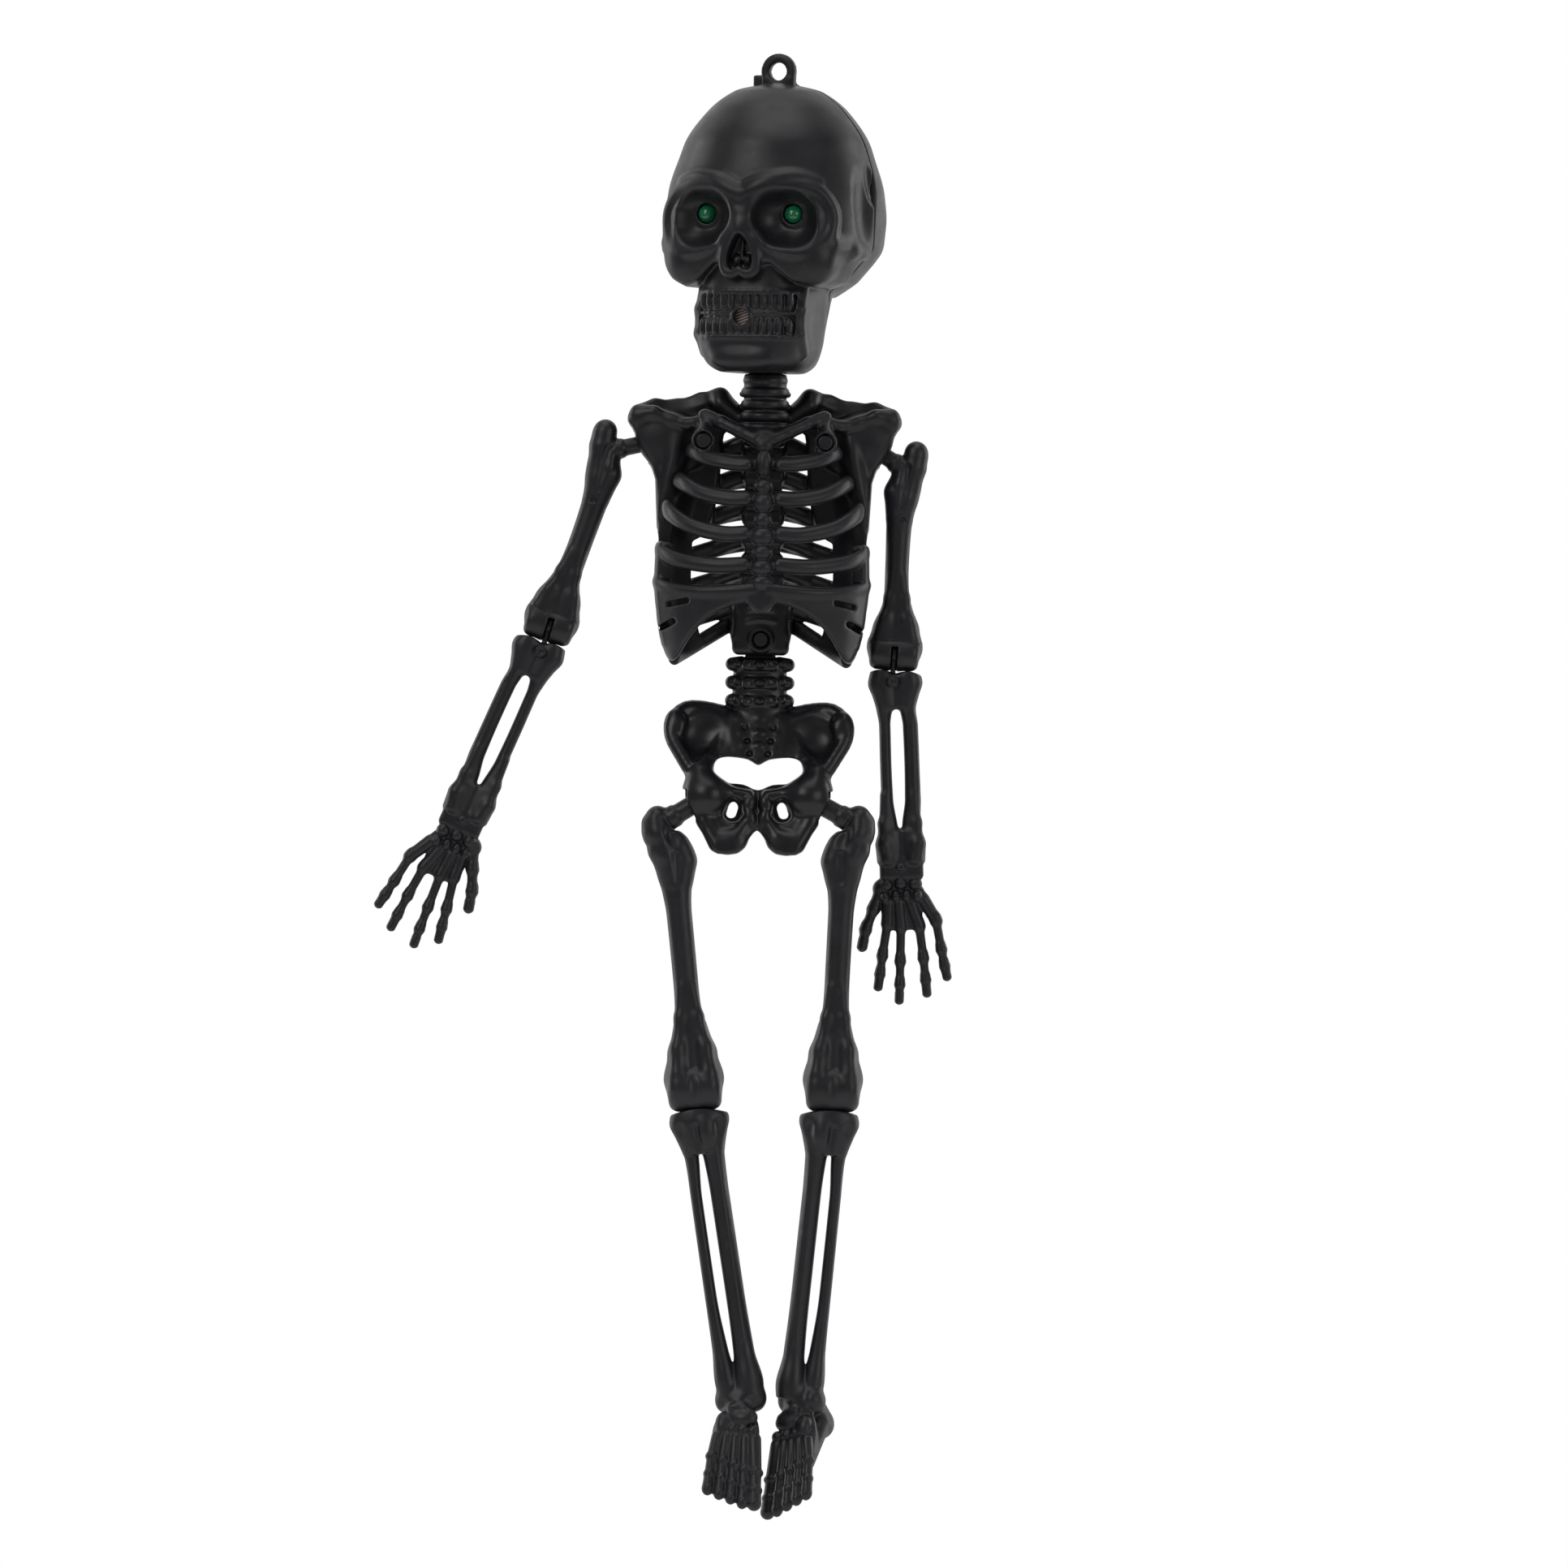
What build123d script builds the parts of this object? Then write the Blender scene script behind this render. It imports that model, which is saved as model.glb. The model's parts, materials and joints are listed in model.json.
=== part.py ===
from build123d import *
import os
from math import atan2, cos, degrees, radians, sin

# A hanging, jointed skeleton figure in black plastic. Millimetres, +Z up, front towards -Y.
# Origin: centre of the hanging loop's hole. "left" and "right" are the figure's own sides, left at +X.

# ---- driving dimensions -------------------------------------------------------------------------
HEAD_TURN = 20.0  # the head is turned to the figure's right, about the vertical
NECK_FORWARD = 3.74  # the neck's axis stands this far in front of the skull's seam
BODY_X = -NECK_FORWARD * sin(radians(HEAD_TURN))
BODY_Y = -NECK_FORWARD * cos(radians(HEAD_TURN))

LOOP_OUTER_R, LOOP_HOLE_R, LOOP_THICK = 2.95, 1.45, 1.5

# skull cross-sections: height, half width, depth in front of the seam, depth behind it
SKULL_LEVELS = [
    (-2.0, 3.4, 3.6, 4.0),
    (-3.4, 7.4, 7.6, 8.0),
    (-6.5, 11.4, 11.8, 12.4),
    (-12.5, 15.4, 15.9, 16.0),
    (-20.5, 17.3, 17.4, 17.0),
    (-28.0, 17.0, 17.2, 15.8),
    (-34.0, 12.6, 16.4, 12.0),
    (-38.5, 9.9, 16.6, 6.6),
    (-44.0, 9.5, 16.5, 4.2),
    (-49.7, 7.2, 14.8, 3.4),
]
SKULL_WALL = 1.6
SKULL_FLOOR_Z = -46.2  # inside face of the floor that the neck passes through
EYE_X, EYE_Z = 7.5, -23.9
BOWL_R, BOWL_FLOOR = 7.0, 12.6
LED_R, LED_TIP, LED_LENGTH = 1.5, 13.8, 5.4
MOUTH_Z, MOUTH_HOLE_R = -40.8, 1.3
SENSOR_R, SENSOR_THICK, SENSOR_FACE = 2.2, 1.6, 14.6

BOARD_FRONT, BOARD_THICK, BOARD_HALF = 6.2, 1.2, 8.6
BOARD_TOP, BOARD_STEP, BOARD_LOW, TONGUE_HALF = -14.0, -31.5, -43.6, 3.2
POST_X, POST_Z, POST_R = 6.5, -29.4, 1.3
LEAD_R, WIRE_R = 0.25, 0.4

CELL_R, CELL_LENGTH, CELL_COUNT = 5.8, 5.4, 3
CELL_Y, CELL_Z = 6.4, -17.5
BAY_HALF_X, BAY_HALF_Z, BAY_WALL = 9.6, 6.0, 1.2
DOOR_HALF_X, DOOR_TOP, DOOR_LOW, DOOR_GAP = 8.6, -7.2, -23.0, 0.15
DOOR_SCREW_Z, DOOR_SEAT = -9.2, 13.0
SHELL_SCREW_X, SHELL_SCREW_Z, SHELL_SEAT = 10.6, -30.0, 8.3
SCREW_R, SCREW_HEAD_R, SCREW_HEAD = 0.8, 1.6, 1.2
SWITCH_Z, SWITCH_FACE, SWITCH_TRAVEL, KNOB_HALF = -27.2, 15.0, 2.0, 0.8

NECK_POST_R, NECK_HOLE_R, NECK_FLANGE_R, NECK_R = 2.65, 2.75, 4.0, 3.67
NECK_TOP, NECK_RIDGE_R, NECK_BASE = -49.85, 4.0, -58.5

# chest cross-sections: height, half width, depth in front of the neck's axis, depth behind it
THORAX_LEVELS = [
    (-54.0, 12.8, 6.0, 6.5),
    (-60.0, 12.6, 7.8, 7.8),
    (-67.0, 14.9, 10.6, 9.0),
    (-75.0, 17.1, 12.3, 9.5),
    (-83.0, 17.6, 12.8, 9.5),
    (-90.0, 17.0, 12.3, 9.0),
    (-98.0, 15.4, 11.0, 8.2),
]
RIB_WALL, RIB_HEIGHT = 2.0, 2.4
PARTING = 0.15  # half the gap between the chest's front and back halves
STERNUM_HALF, STERNUM_TOP, STERNUM_LOW = 1.8, -58.1, -89.2
# front ribs: height at the breastbone, outer end
FRONT_RIBS = [(-64.5, 11.9, -62.5), (-70.2, 13.7, -67.6), (-76.0, 16.4, -71.6), (-80.6, 18.5, -78.8)]
BACK_RIB_TOP, BACK_RIB_PITCH, BACK_RIB_COUNT, BACK_RIB_SLOPE = -61.4, 5.2, 6, 14.0
PEG_BOSS_X, PEG_BOSS_Z, PEG_BOSS_R = 10.0, -61.0, 1.6

SHOULDER = (16.7, 4.0, -60.8)
SHOULDER_PEG_DOWN = 29.8  # the arm's peg slopes down from its ball, measured with the arm vertical
ARM_LEAN = {"left": -3.2, "right": 16.9}  # how far each arm leans outwards
ARM_SLACK = {"left": 0.0, "right": 1.2}  # how far each arm is pulled out along its peg
SHOULDER_SLOT = (-36.0, -6.0)  # lowest and highest direction that the slot in the socket leaves open

WAIST_Z, WAIST_Y, WAIST_PIN_R, TONGUE_R = -93.4, 5.2, 1.1, 3.0
WAIST_HALF, WAIST_TONGUE, WAIST_CHEEK = 4.8, 2.8, 1.6
WAIST_TOP, WAIST_LOW = -86.8, -96.0

HIP = (8.3, -2.5, -119.2)
HIP_PEG_DOWN = 28.0
LEG_LEAN = {"left": 0.0, "right": -4.5}
HIP_SLOT = (-42.0, -12.0)

BALL_R, BALL_GAP, BALL_BORE_R, TIP_R = 2.2, 0.15, 1.05, 1.0
SOCKET_WALL = 1.4
ARM_PEG_R, LEG_PEG_R = 1.38, 1.6

ELBOW = (7.2, 0.0, -34.1)  # hinge centre, from the shoulder ball with the arm vertical
ELBOW_R, ELBOW_HALF, ELBOW_TONGUE, TRUNNION_R = 2.85, 4.3, 1.4, 0.8
FOREARM_ANGLE = 6.2
KNEE = (4.9, 0.0, -47.6)  # hinge centre, from the hip ball
KNEE_R, KNEE_HALF, KNEE_TONGUE = 3.9, 4.65, 2.0
SHANK_ANGLE = -5.0
ANKLE_DOWN = -46.8  # the ankle, from the knee's front centre
HINGE_GAP = 0.25
FOOT_TURN = {"left": 16.0, "right": 10.5}  # how far each foot leans out, from its shank
FOOT_YAW = {"left": 40.0, "right": -6.0}  # how far each foot's toes turn inwards
LEG_FORWARD = {"left": 0.0, "right": 1.5}  # how far each leg is swung forward about its peg
FOOT_SLOPE = 24.0  # the foot points down and this far forward of the vertical

SIDES = {"left": 1, "right": -1}


# ---- placing and writing ------------------------------------------------------------------------
HEAD_PLACE = Location((0, 0, 0), (0, 0, -HEAD_TURN))
BODY_PLACE = Location((BODY_X, BODY_Y, 0))


def keep(piece, label, place):
    """Move a finished piece to its place in the figure, name it and write it."""
    solid = piece.moved(place)
    solid.label = label
    export_step(solid, f"parts/{label}.step")


def limb_place(side, centre, lean, slack=(0.0, 0.0)):
    """Where a limb goes whose own origin is its ball: at a joint centre, leaning outwards."""
    sign = SIDES[side]
    x, y, z = centre
    distance, down = slack
    slope = radians(lean - down)
    out, up = distance * cos(slope), distance * sin(slope)
    return BODY_PLACE * Location((sign * (x + out), y, z + up), (0, -sign * lean, 0))


def one_side(piece, side):
    """A piece made for the left side, mirrored for the right."""
    return piece if side == "left" else mirror(piece, about=Plane.YZ)


# ---- shared shapes ------------------------------------------------------------------------------
def stacked(levels, inset=0.0):
    """A body through ellipses at given heights, each with its own front and back depth."""
    with BuildPart() as body:
        for z, half, front, back in levels:
            with BuildSketch(Plane.XY.offset(z)):
                with Locations((0, (back - front) / 2)):
                    Ellipse(half - inset, (front + back) / 2 - inset)
        loft()
    return body.part


def bone(stations):
    """A bone's shaft through ellipses: height, centre x, centre y, half width, half depth."""
    with BuildPart() as shaft:
        for z, x, y, half_x, half_y in stations:
            with BuildSketch(Plane.XY.offset(z)):
                with Locations((x, y)):
                    Ellipse(half_x, half_y)
        loft()
    return shaft.part


def rod(start, end, radius, end_radius=None):
    """A straight round rod, or a tapered one, between two points."""
    a, b = Vector(*start), Vector(*end)
    along = Plane(origin=a, z_dir=b - a)
    length = (b - a).length
    with BuildPart() as part:
        with BuildSketch(along):
            Circle(radius)
        with BuildSketch(along.offset(length)):
            Circle(radius if end_radius is None else end_radius)
        loft()
    return part.part


def hinge_barrel(centre, radius, half, rounding):
    """A barrel along X with rounded ends, centred on a hinge."""
    x, y, z = centre
    with BuildPart() as barrel:
        with BuildSketch(Plane.YZ.offset(x - half)):
            with Locations((y, z)):
                Circle(radius)
        extrude(amount=2 * half)
        fillet(barrel.edges().filter_by(GeomType.CIRCLE), rounding)
    return barrel.part


def disc(centre, radius, half):
    """A plain disc along X, centred on a hinge."""
    x, y, z = centre
    with BuildPart() as flat:
        with BuildSketch(Plane.YZ.offset(x - half)):
            with Locations((y, z)):
                Circle(radius)
        extrude(amount=2 * half)
    return flat.part


def group(pieces):
    """Separate solids that share one node."""
    with BuildPart() as together:
        add(list(pieces))
    return together.part


# ---- skull --------------------------------------------------------------------------------------
def skull_cavity():
    """The space inside the skull, kept clear of the eye bowls and the mouth's sensor seat."""
    levels = [(-3.6, 5.4, 5.6, 6.0)] + SKULL_LEVELS[2:-1] + [(SKULL_FLOOR_Z, 9.0, 16.0, 4.0)]
    with BuildPart() as cavity:
        add(stacked(levels, SKULL_WALL))
        with Locations(*[(s * EYE_X, -(BOWL_FLOOR + BOWL_R), EYE_Z) for s in (1, -1)]):
            Sphere(BOWL_R + SKULL_WALL, mode=Mode.SUBTRACT)
    return cavity.part


def skull_shell():
    with BuildPart() as shell:
        add(stacked(SKULL_LEVELS))
        add(skull_cavity(), mode=Mode.SUBTRACT)
    return shell.part


def make_skull_front_shell(shell):
    """Face and jaw: eye bowls, nose, mouth hole, teeth, board posts and screw bosses."""
    with BuildPart() as skull_front_shell:
        add(shell)
        split(bisect_by=Plane.XZ, keep=Keep.TOP)
        for s in (1, -1):
            add(rod((s * POST_X, -BOARD_FRONT, POST_Z), (s * POST_X, -14.2, POST_Z), POST_R))
            add(rod((s * SHELL_SCREW_X, 0, SHELL_SCREW_Z), (s * SHELL_SCREW_X, -10.6, SHELL_SCREW_Z), 1.9))
        with Locations(*[(s * EYE_X, -(BOWL_FLOOR + BOWL_R), EYE_Z) for s in (1, -1)]):
            Sphere(BOWL_R, mode=Mode.SUBTRACT)
        for s in (1, -1):
            add(rod((s * EYE_X, -8, EYE_Z), (s * EYE_X, -16, EYE_Z), LED_R + 0.05), mode=Mode.SUBTRACT)
            add(rod((s * POST_X, -BOARD_FRONT, POST_Z), (s * POST_X, -11, POST_Z), 0.72), mode=Mode.SUBTRACT)
            add(rod((s * SHELL_SCREW_X, 0, SHELL_SCREW_Z), (s * SHELL_SCREW_X, -7, SHELL_SCREW_Z),
                    SCREW_R + 0.02), mode=Mode.SUBTRACT)
        with BuildSketch(Plane.XZ.offset(15.9)):
            with BuildLine():
                Polyline((0, -26.6), (2.5, -32.4), (0.9, -33.6), (0, -32.6), (-0.9, -33.6), (-2.5, -32.4),
                         close=True)
            make_face()
        extrude(amount=6, mode=Mode.SUBTRACT)
        add(rod((0, -10, MOUTH_Z), (0, -20, MOUTH_Z), MOUTH_HOLE_R), mode=Mode.SUBTRACT)
        # the neck comes in from behind through this slot, which the rear shell's tongue closes
        add(rod((0, -NECK_FORWARD, -52), (0, -NECK_FORWARD, -46), NECK_HOLE_R), mode=Mode.SUBTRACT)
        with Locations((0, -NECK_FORWARD / 2, -49)):
            Box(2 * NECK_HOLE_R, NECK_FORWARD, 6, mode=Mode.SUBTRACT)
        # notch for the half of the hanging loop that stands in front of the seam
        with Locations((0, 0, -2)):
            Box(2 * LOOP_OUTER_R + 0.2, LOOP_THICK + 0.1, 4.2, mode=Mode.SUBTRACT)
    return skull_front_shell.part


def make_skull_rear_shell(shell):
    """Back of the head: loop, battery bay, door opening, switch recess and screw holes."""
    with BuildPart() as skull_rear_shell:
        add(shell)
        split(bisect_by=Plane.XZ, keep=Keep.BOTTOM)
        add(battery_bay())
        add(rod((0, 4, DOOR_SCREW_Z), (0, 11.8, DOOR_SCREW_Z), 2.2))
        add(screw_bosses())
        add(hanging_loop())
        with Locations((0, 16, (DOOR_TOP + DOOR_LOW) / 2)):
            Box(2 * DOOR_HALF_X, 9, DOOR_TOP - DOOR_LOW, mode=Mode.SUBTRACT)
        add(rod((0, 4, DOOR_SCREW_Z), (0, 14, DOOR_SCREW_Z), SCREW_R + 0.02), mode=Mode.SUBTRACT)
        for s in (1, -1):
            at = (s * SHELL_SCREW_X, SHELL_SCREW_Z)
            add(rod((at[0], -1, at[1]), (at[0], 12, at[1]), SCREW_R + 0.1), mode=Mode.SUBTRACT)
            add(rod((at[0], SHELL_SEAT, at[1]), (at[0], 20, at[1]), SCREW_HEAD_R + 0.2), mode=Mode.SUBTRACT)
        with Locations((0, SWITCH_FACE + 2, SWITCH_Z)):
            Box(9.0, 4, 3.6, mode=Mode.SUBTRACT)
        with Locations((0, SWITCH_FACE - 1, SWITCH_Z)):
            Box(SWITCH_TRAVEL + 2 * KNOB_HALF + 0.4, 6, 2 * KNOB_HALF + 0.4, mode=Mode.SUBTRACT)
        add(rod((0, -NECK_FORWARD, -52), (0, -NECK_FORWARD, -46), NECK_HOLE_R), mode=Mode.SUBTRACT)
        add(neck_tongue())
    return skull_rear_shell.part


def battery_bay():
    """A frame round the cells, trimmed to the head's outside."""
    depth = 17.0
    with BuildPart() as bay:
        with Locations((0, depth / 2 + 0.6, CELL_Z)):
            Box(2 * (BAY_HALF_X + BAY_WALL), depth, 2 * (BAY_HALF_Z + BAY_WALL))
            Box(2 * BAY_HALF_X, depth, 2 * BAY_HALF_Z, mode=Mode.SUBTRACT)
        add(stacked(SKULL_LEVELS, 0.4), mode=Mode.INTERSECT)
    return bay.part


def screw_bosses():
    """Posts round the two shell screws, trimmed to the head's outside."""
    with BuildPart() as bosses:
        for s in (1, -1):
            add(rod((s * SHELL_SCREW_X, 0, SHELL_SCREW_Z), (s * SHELL_SCREW_X, 14, SHELL_SCREW_Z), 2.8))
        add(stacked(SKULL_LEVELS, 0.3), mode=Mode.INTERSECT)
    return bosses.part


def neck_tongue():
    """The tongue behind the neck, filling the slot in the front shell's floor."""
    with BuildPart() as tongue:
        with Locations((0, -NECK_FORWARD / 2 + 0.6, (SKULL_FLOOR_Z + SKULL_LEVELS[-1][0]) / 2)):
            Box(2 * NECK_HOLE_R - 0.2, NECK_FORWARD + 1.2, SKULL_FLOOR_Z - SKULL_LEVELS[-1][0] - 0.1)
        add(rod((0, -NECK_FORWARD, -52), (0, -NECK_FORWARD, -46), NECK_HOLE_R), mode=Mode.SUBTRACT)
    return tongue.part


def hanging_loop():
    """A flat ring on top of the head, with a small block at its foot."""
    with BuildPart() as loop:
        with BuildSketch(Plane.XZ.offset(-LOOP_THICK / 2)):
            Circle(LOOP_OUTER_R)
            Circle(LOOP_HOLE_R, mode=Mode.SUBTRACT)
        extrude(amount=LOOP_THICK)
        outer = loop.edges().filter_by(GeomType.CIRCLE).filter_by(lambda e: e.radius > 2)
        fillet(outer, 0.4)
        with Locations((0, 0.4, -2.6)):
            Box(3.6, 0.7, 1.4)
        with Locations((-2.7, 0.9, -2.5)):
            Box(1.6, 1.6, 1.4)
    return loop.part


def make_battery_door(shell):
    """The piece of the head's wall that covers the cells, with a seat for its screw."""
    with BuildPart() as battery_door:
        with Locations((0, 16, (DOOR_TOP + DOOR_LOW) / 2)):
            Box(2 * (DOOR_HALF_X - DOOR_GAP), 9, DOOR_TOP - DOOR_LOW - 2 * DOOR_GAP)
        add(shell, mode=Mode.INTERSECT)
        add(rod((0, 12.0, DOOR_SCREW_Z), (0, DOOR_SEAT + 0.4, DOOR_SCREW_Z), 2.2))
        add(rod((0, 12, DOOR_SCREW_Z), (0, 20, DOOR_SCREW_Z), SCREW_R + 0.1), mode=Mode.SUBTRACT)
        add(rod((0, DOOR_SEAT, DOOR_SCREW_Z), (0, 20, DOOR_SCREW_Z), SCREW_HEAD_R + 0.1), mode=Mode.SUBTRACT)
    return battery_door.part


def screw(x, seat_y, z, shank, head_r=SCREW_HEAD_R, shank_r=SCREW_R):
    """A pan-head screw along Y: its head stands behind seat_y and its shank runs forward."""
    with BuildPart() as part:
        with BuildSketch(Plane.XZ.offset(-seat_y)):
            with Locations((x, z)):
                Circle(head_r)
        extrude(amount=-SCREW_HEAD)
        fillet(part.faces().sort_by(Axis.Y)[-1].edges(), 0.4)
        with BuildSketch(Plane.XZ.offset(-seat_y)):
            with Locations((x, z)):
                Circle(shank_r)
        extrude(amount=shank)
        with Locations((x, seat_y + SCREW_HEAD, z)):
            Box(2 * head_r - 1.2, 0.7, 0.4, mode=Mode.SUBTRACT)
            Box(0.4, 0.7, 2 * head_r - 1.2, mode=Mode.SUBTRACT)
    return part.part


def make_eye_led(s):
    """A 3 mm lamp with its flange and two legs back to the board."""
    with BuildPart() as led:
        with BuildSketch(Plane.YZ.offset(0)):
            with BuildLine():
                base, dome = -(LED_TIP - LED_LENGTH), -(LED_TIP - LED_R)
                Polyline((base, 0), (base, LED_R + 0.35), (base - 1, LED_R + 0.35), (base - 1, LED_R),
                         (dome, LED_R))
                ThreePointArc((dome, LED_R), (dome - LED_R * sin(radians(45)), LED_R * cos(radians(45))),
                              (dome - LED_R, 0))
                Line((dome - LED_R, 0), (base, 0))
            make_face()
        revolve(axis=Axis.Y)
        for leg in (-0.6, 0.6):
            add(rod((leg, -BOARD_FRONT, 0), (leg, base - 0.2, 0), LEAD_R))
    return led.part.moved(Location((s * EYE_X, 0, EYE_Z)))


def make_mouth_sensor():
    """A light-dependent resistor: a flat disc behind the mouth hole, on two legs."""
    back = -(SENSOR_FACE - SENSOR_THICK)
    with BuildPart() as mouth_light_sensor:
        with BuildSketch(Plane.XZ.offset(-back)):
            with Locations((0, MOUTH_Z)):
                Circle(SENSOR_R)
        extrude(amount=SENSOR_THICK)
        for leg in (-1.2, 1.2):
            add(rod((leg, -BOARD_FRONT, MOUTH_Z), (leg, back - 0.2, MOUTH_Z), LEAD_R))
    return mouth_light_sensor.part


def make_circuit_board():
    with BuildPart() as circuit_board:
        with BuildSketch(Plane.XZ.offset(BOARD_FRONT - BOARD_THICK)):
            with BuildLine():
                Polyline((-BOARD_HALF, BOARD_TOP), (BOARD_HALF, BOARD_TOP), (BOARD_HALF, BOARD_STEP),
                         (TONGUE_HALF, BOARD_STEP), (TONGUE_HALF, BOARD_LOW), (-TONGUE_HALF, BOARD_LOW),
                         (-TONGUE_HALF, BOARD_STEP), (-BOARD_HALF, BOARD_STEP), close=True)
            make_face()
            with Locations((POST_X, POST_Z), (-POST_X, POST_Z)):
                Circle(0.8, mode=Mode.SUBTRACT)
        extrude(amount=BOARD_THICK)
    return circuit_board.part


def board_part(x, z, size_x, size_z, thick):
    """A small block on the board's back face."""
    with BuildPart() as block:
        with Locations((x, -(BOARD_FRONT - BOARD_THICK) + thick / 2, z)):
            Box(size_x, thick, size_z)
    return block.part


def make_controller_chip():
    """The blob of resin over the bare chip."""
    with BuildPart() as controller_chip:
        with BuildSketch(Plane.XZ.offset(BOARD_FRONT - BOARD_THICK)):
            with Locations((0, -19.5)):
                Circle(2.8)
        extrude(amount=-1.1)
        fillet(controller_chip.faces().sort_by(Axis.Y)[-1].edges(), 0.8)
    return controller_chip.part


def make_button_cells():
    """Three button cells in a row, each with a narrower cap."""
    cells = []
    for i in range(CELL_COUNT):
        with BuildPart() as cell:
            x = (i - CELL_COUNT / 2) * CELL_LENGTH
            with BuildSketch(Plane.YZ.offset(x + 0.02)):
                with Locations((CELL_Y, CELL_Z)):
                    Circle(CELL_R)
            extrude(amount=CELL_LENGTH - 0.64)
            with BuildSketch(Plane.YZ.offset(x + CELL_LENGTH - 0.62)):
                with Locations((CELL_Y, CELL_Z)):
                    Circle(CELL_R - 1.4)
            extrude(amount=0.58)
        cells.append(cell.part)
    return cells


def make_battery_contacts():
    """A flat plate at one end of the cells and a sprung one at the other."""
    plates = []
    stack = CELL_COUNT * CELL_LENGTH / 2
    for s in (1, -1):
        with BuildPart() as plate:
            with Locations((s * (BAY_HALF_X - 0.25), CELL_Y, CELL_Z)):
                Box(0.4, 8.0, 8.0)
            near, far = s * (stack + 0.04), s * (BAY_HALF_X - 0.3)
            add(rod((near, CELL_Y, CELL_Z), (far, CELL_Y, CELL_Z), 1.6, 2.8))
        plates.append(plate.part)
    return plates


def make_internal_wires():
    """Supply wires past the bay's ends, and one from the switch, straight to the board."""
    back = -(BOARD_FRONT - BOARD_THICK)
    supply = [rod((s * 8.0, 5.0, -25.4), (s * 8.0, back, -25.4), WIRE_R) for s in (1, -1)]
    return supply + [rod((2.2, SWITCH_FACE - 5.1, SWITCH_Z), (2.2, back, SWITCH_Z), WIRE_R)]


def make_switch_body():
    """The switch's can, behind its slot."""
    with BuildPart() as switch_body:
        with Locations((0, SWITCH_FACE - 3.4, SWITCH_Z)):
            Box(8.6, 3.4, 3.6)
            with Locations((0, 0.9, 0)):
                Box(SWITCH_TRAVEL + 2 * KNOB_HALF + 0.4, 1.7, 2 * KNOB_HALF + 0.4, mode=Mode.SUBTRACT)
    return switch_body.part


def make_switch_knob():
    with BuildPart() as switch_knob:
        with Locations((-SWITCH_TRAVEL / 2, SWITCH_FACE - 1.0, SWITCH_Z)):
            Box(2 * KNOB_HALF, 3.4, 2 * KNOB_HALF)
        fillet(switch_knob.faces().sort_by(Axis.Y)[-1].edges(), 0.25)
    return switch_knob.part


def write_skull():
    shell = skull_shell()
    pieces = {
        "skull_front_shell": make_skull_front_shell(shell),
        "skull_rear_shell": make_skull_rear_shell(shell),
        "battery_door": make_battery_door(shell),
        "battery_door_screw": screw(0, DOOR_SEAT, DOOR_SCREW_Z, 7.5),
        "skull_shell_screws": group(screw(s * SHELL_SCREW_X, SHELL_SEAT, SHELL_SCREW_Z, SHELL_SEAT + 6)
                                    for s in (1, -1)),
        "eye_led_left": make_eye_led(1),
        "eye_led_right": make_eye_led(-1),
        "mouth_light_sensor": make_mouth_sensor(),
        "circuit_board": make_circuit_board(),
        "controller_chip": make_controller_chip(),
        "board_resistors": group(board_part(s * 5.5, -24.5, 2.0, 1.2, 0.6) for s in (1, -1)),
        "board_screws": group(screw(s * POST_X, -(BOARD_FRONT - BOARD_THICK), POST_Z, 5.0, 1.5, 0.7)
                              for s in (1, -1)),
        "button_cells": group(make_button_cells()),
        "battery_contacts": group(make_battery_contacts()),
        "internal_wires": group(make_internal_wires()),
        "switch_body": make_switch_body(),
        "switch_knob": make_switch_knob(),
    }
    for label, piece in pieces.items():
        keep(piece, label, HEAD_PLACE)


# ---- chest --------------------------------------------------------------------------------------
def slab(x_in, z_in, x_out, z_out, height):
    """A straight band seen from the front, as deep as the chest, from one point to another."""
    rise, run = z_out - z_in, x_out - x_in
    length = (rise ** 2 + run ** 2) ** 0.5
    middle = ((x_in + x_out) / 2, 0, (z_in + z_out) / 2)
    with BuildPart() as band:
        with Locations(Location(middle, (0, -degrees(atan2(rise, run)), 0))):
            Box(length, 50, height)
    return band.part


def both_sides(piece):
    return [piece, mirror(piece, about=Plane.YZ)]


def chest_half(front, bands):
    """The part of the chest's wall that lies in the given bands, on one side of the parting."""
    side = -1 if front else 1
    with BuildPart() as half:
        for band in bands:
            add(band)
        with BuildPart(mode=Mode.PRIVATE) as wall:
            add(stacked(THORAX_LEVELS))
            add(stacked(THORAX_LEVELS, RIB_WALL), mode=Mode.SUBTRACT)
            with Locations((0, -side * (20 - PARTING), -75)):
                Box(60, 40, 60, mode=Mode.SUBTRACT)
        add(wall.part, mode=Mode.INTERSECT)
    return half.part


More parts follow.
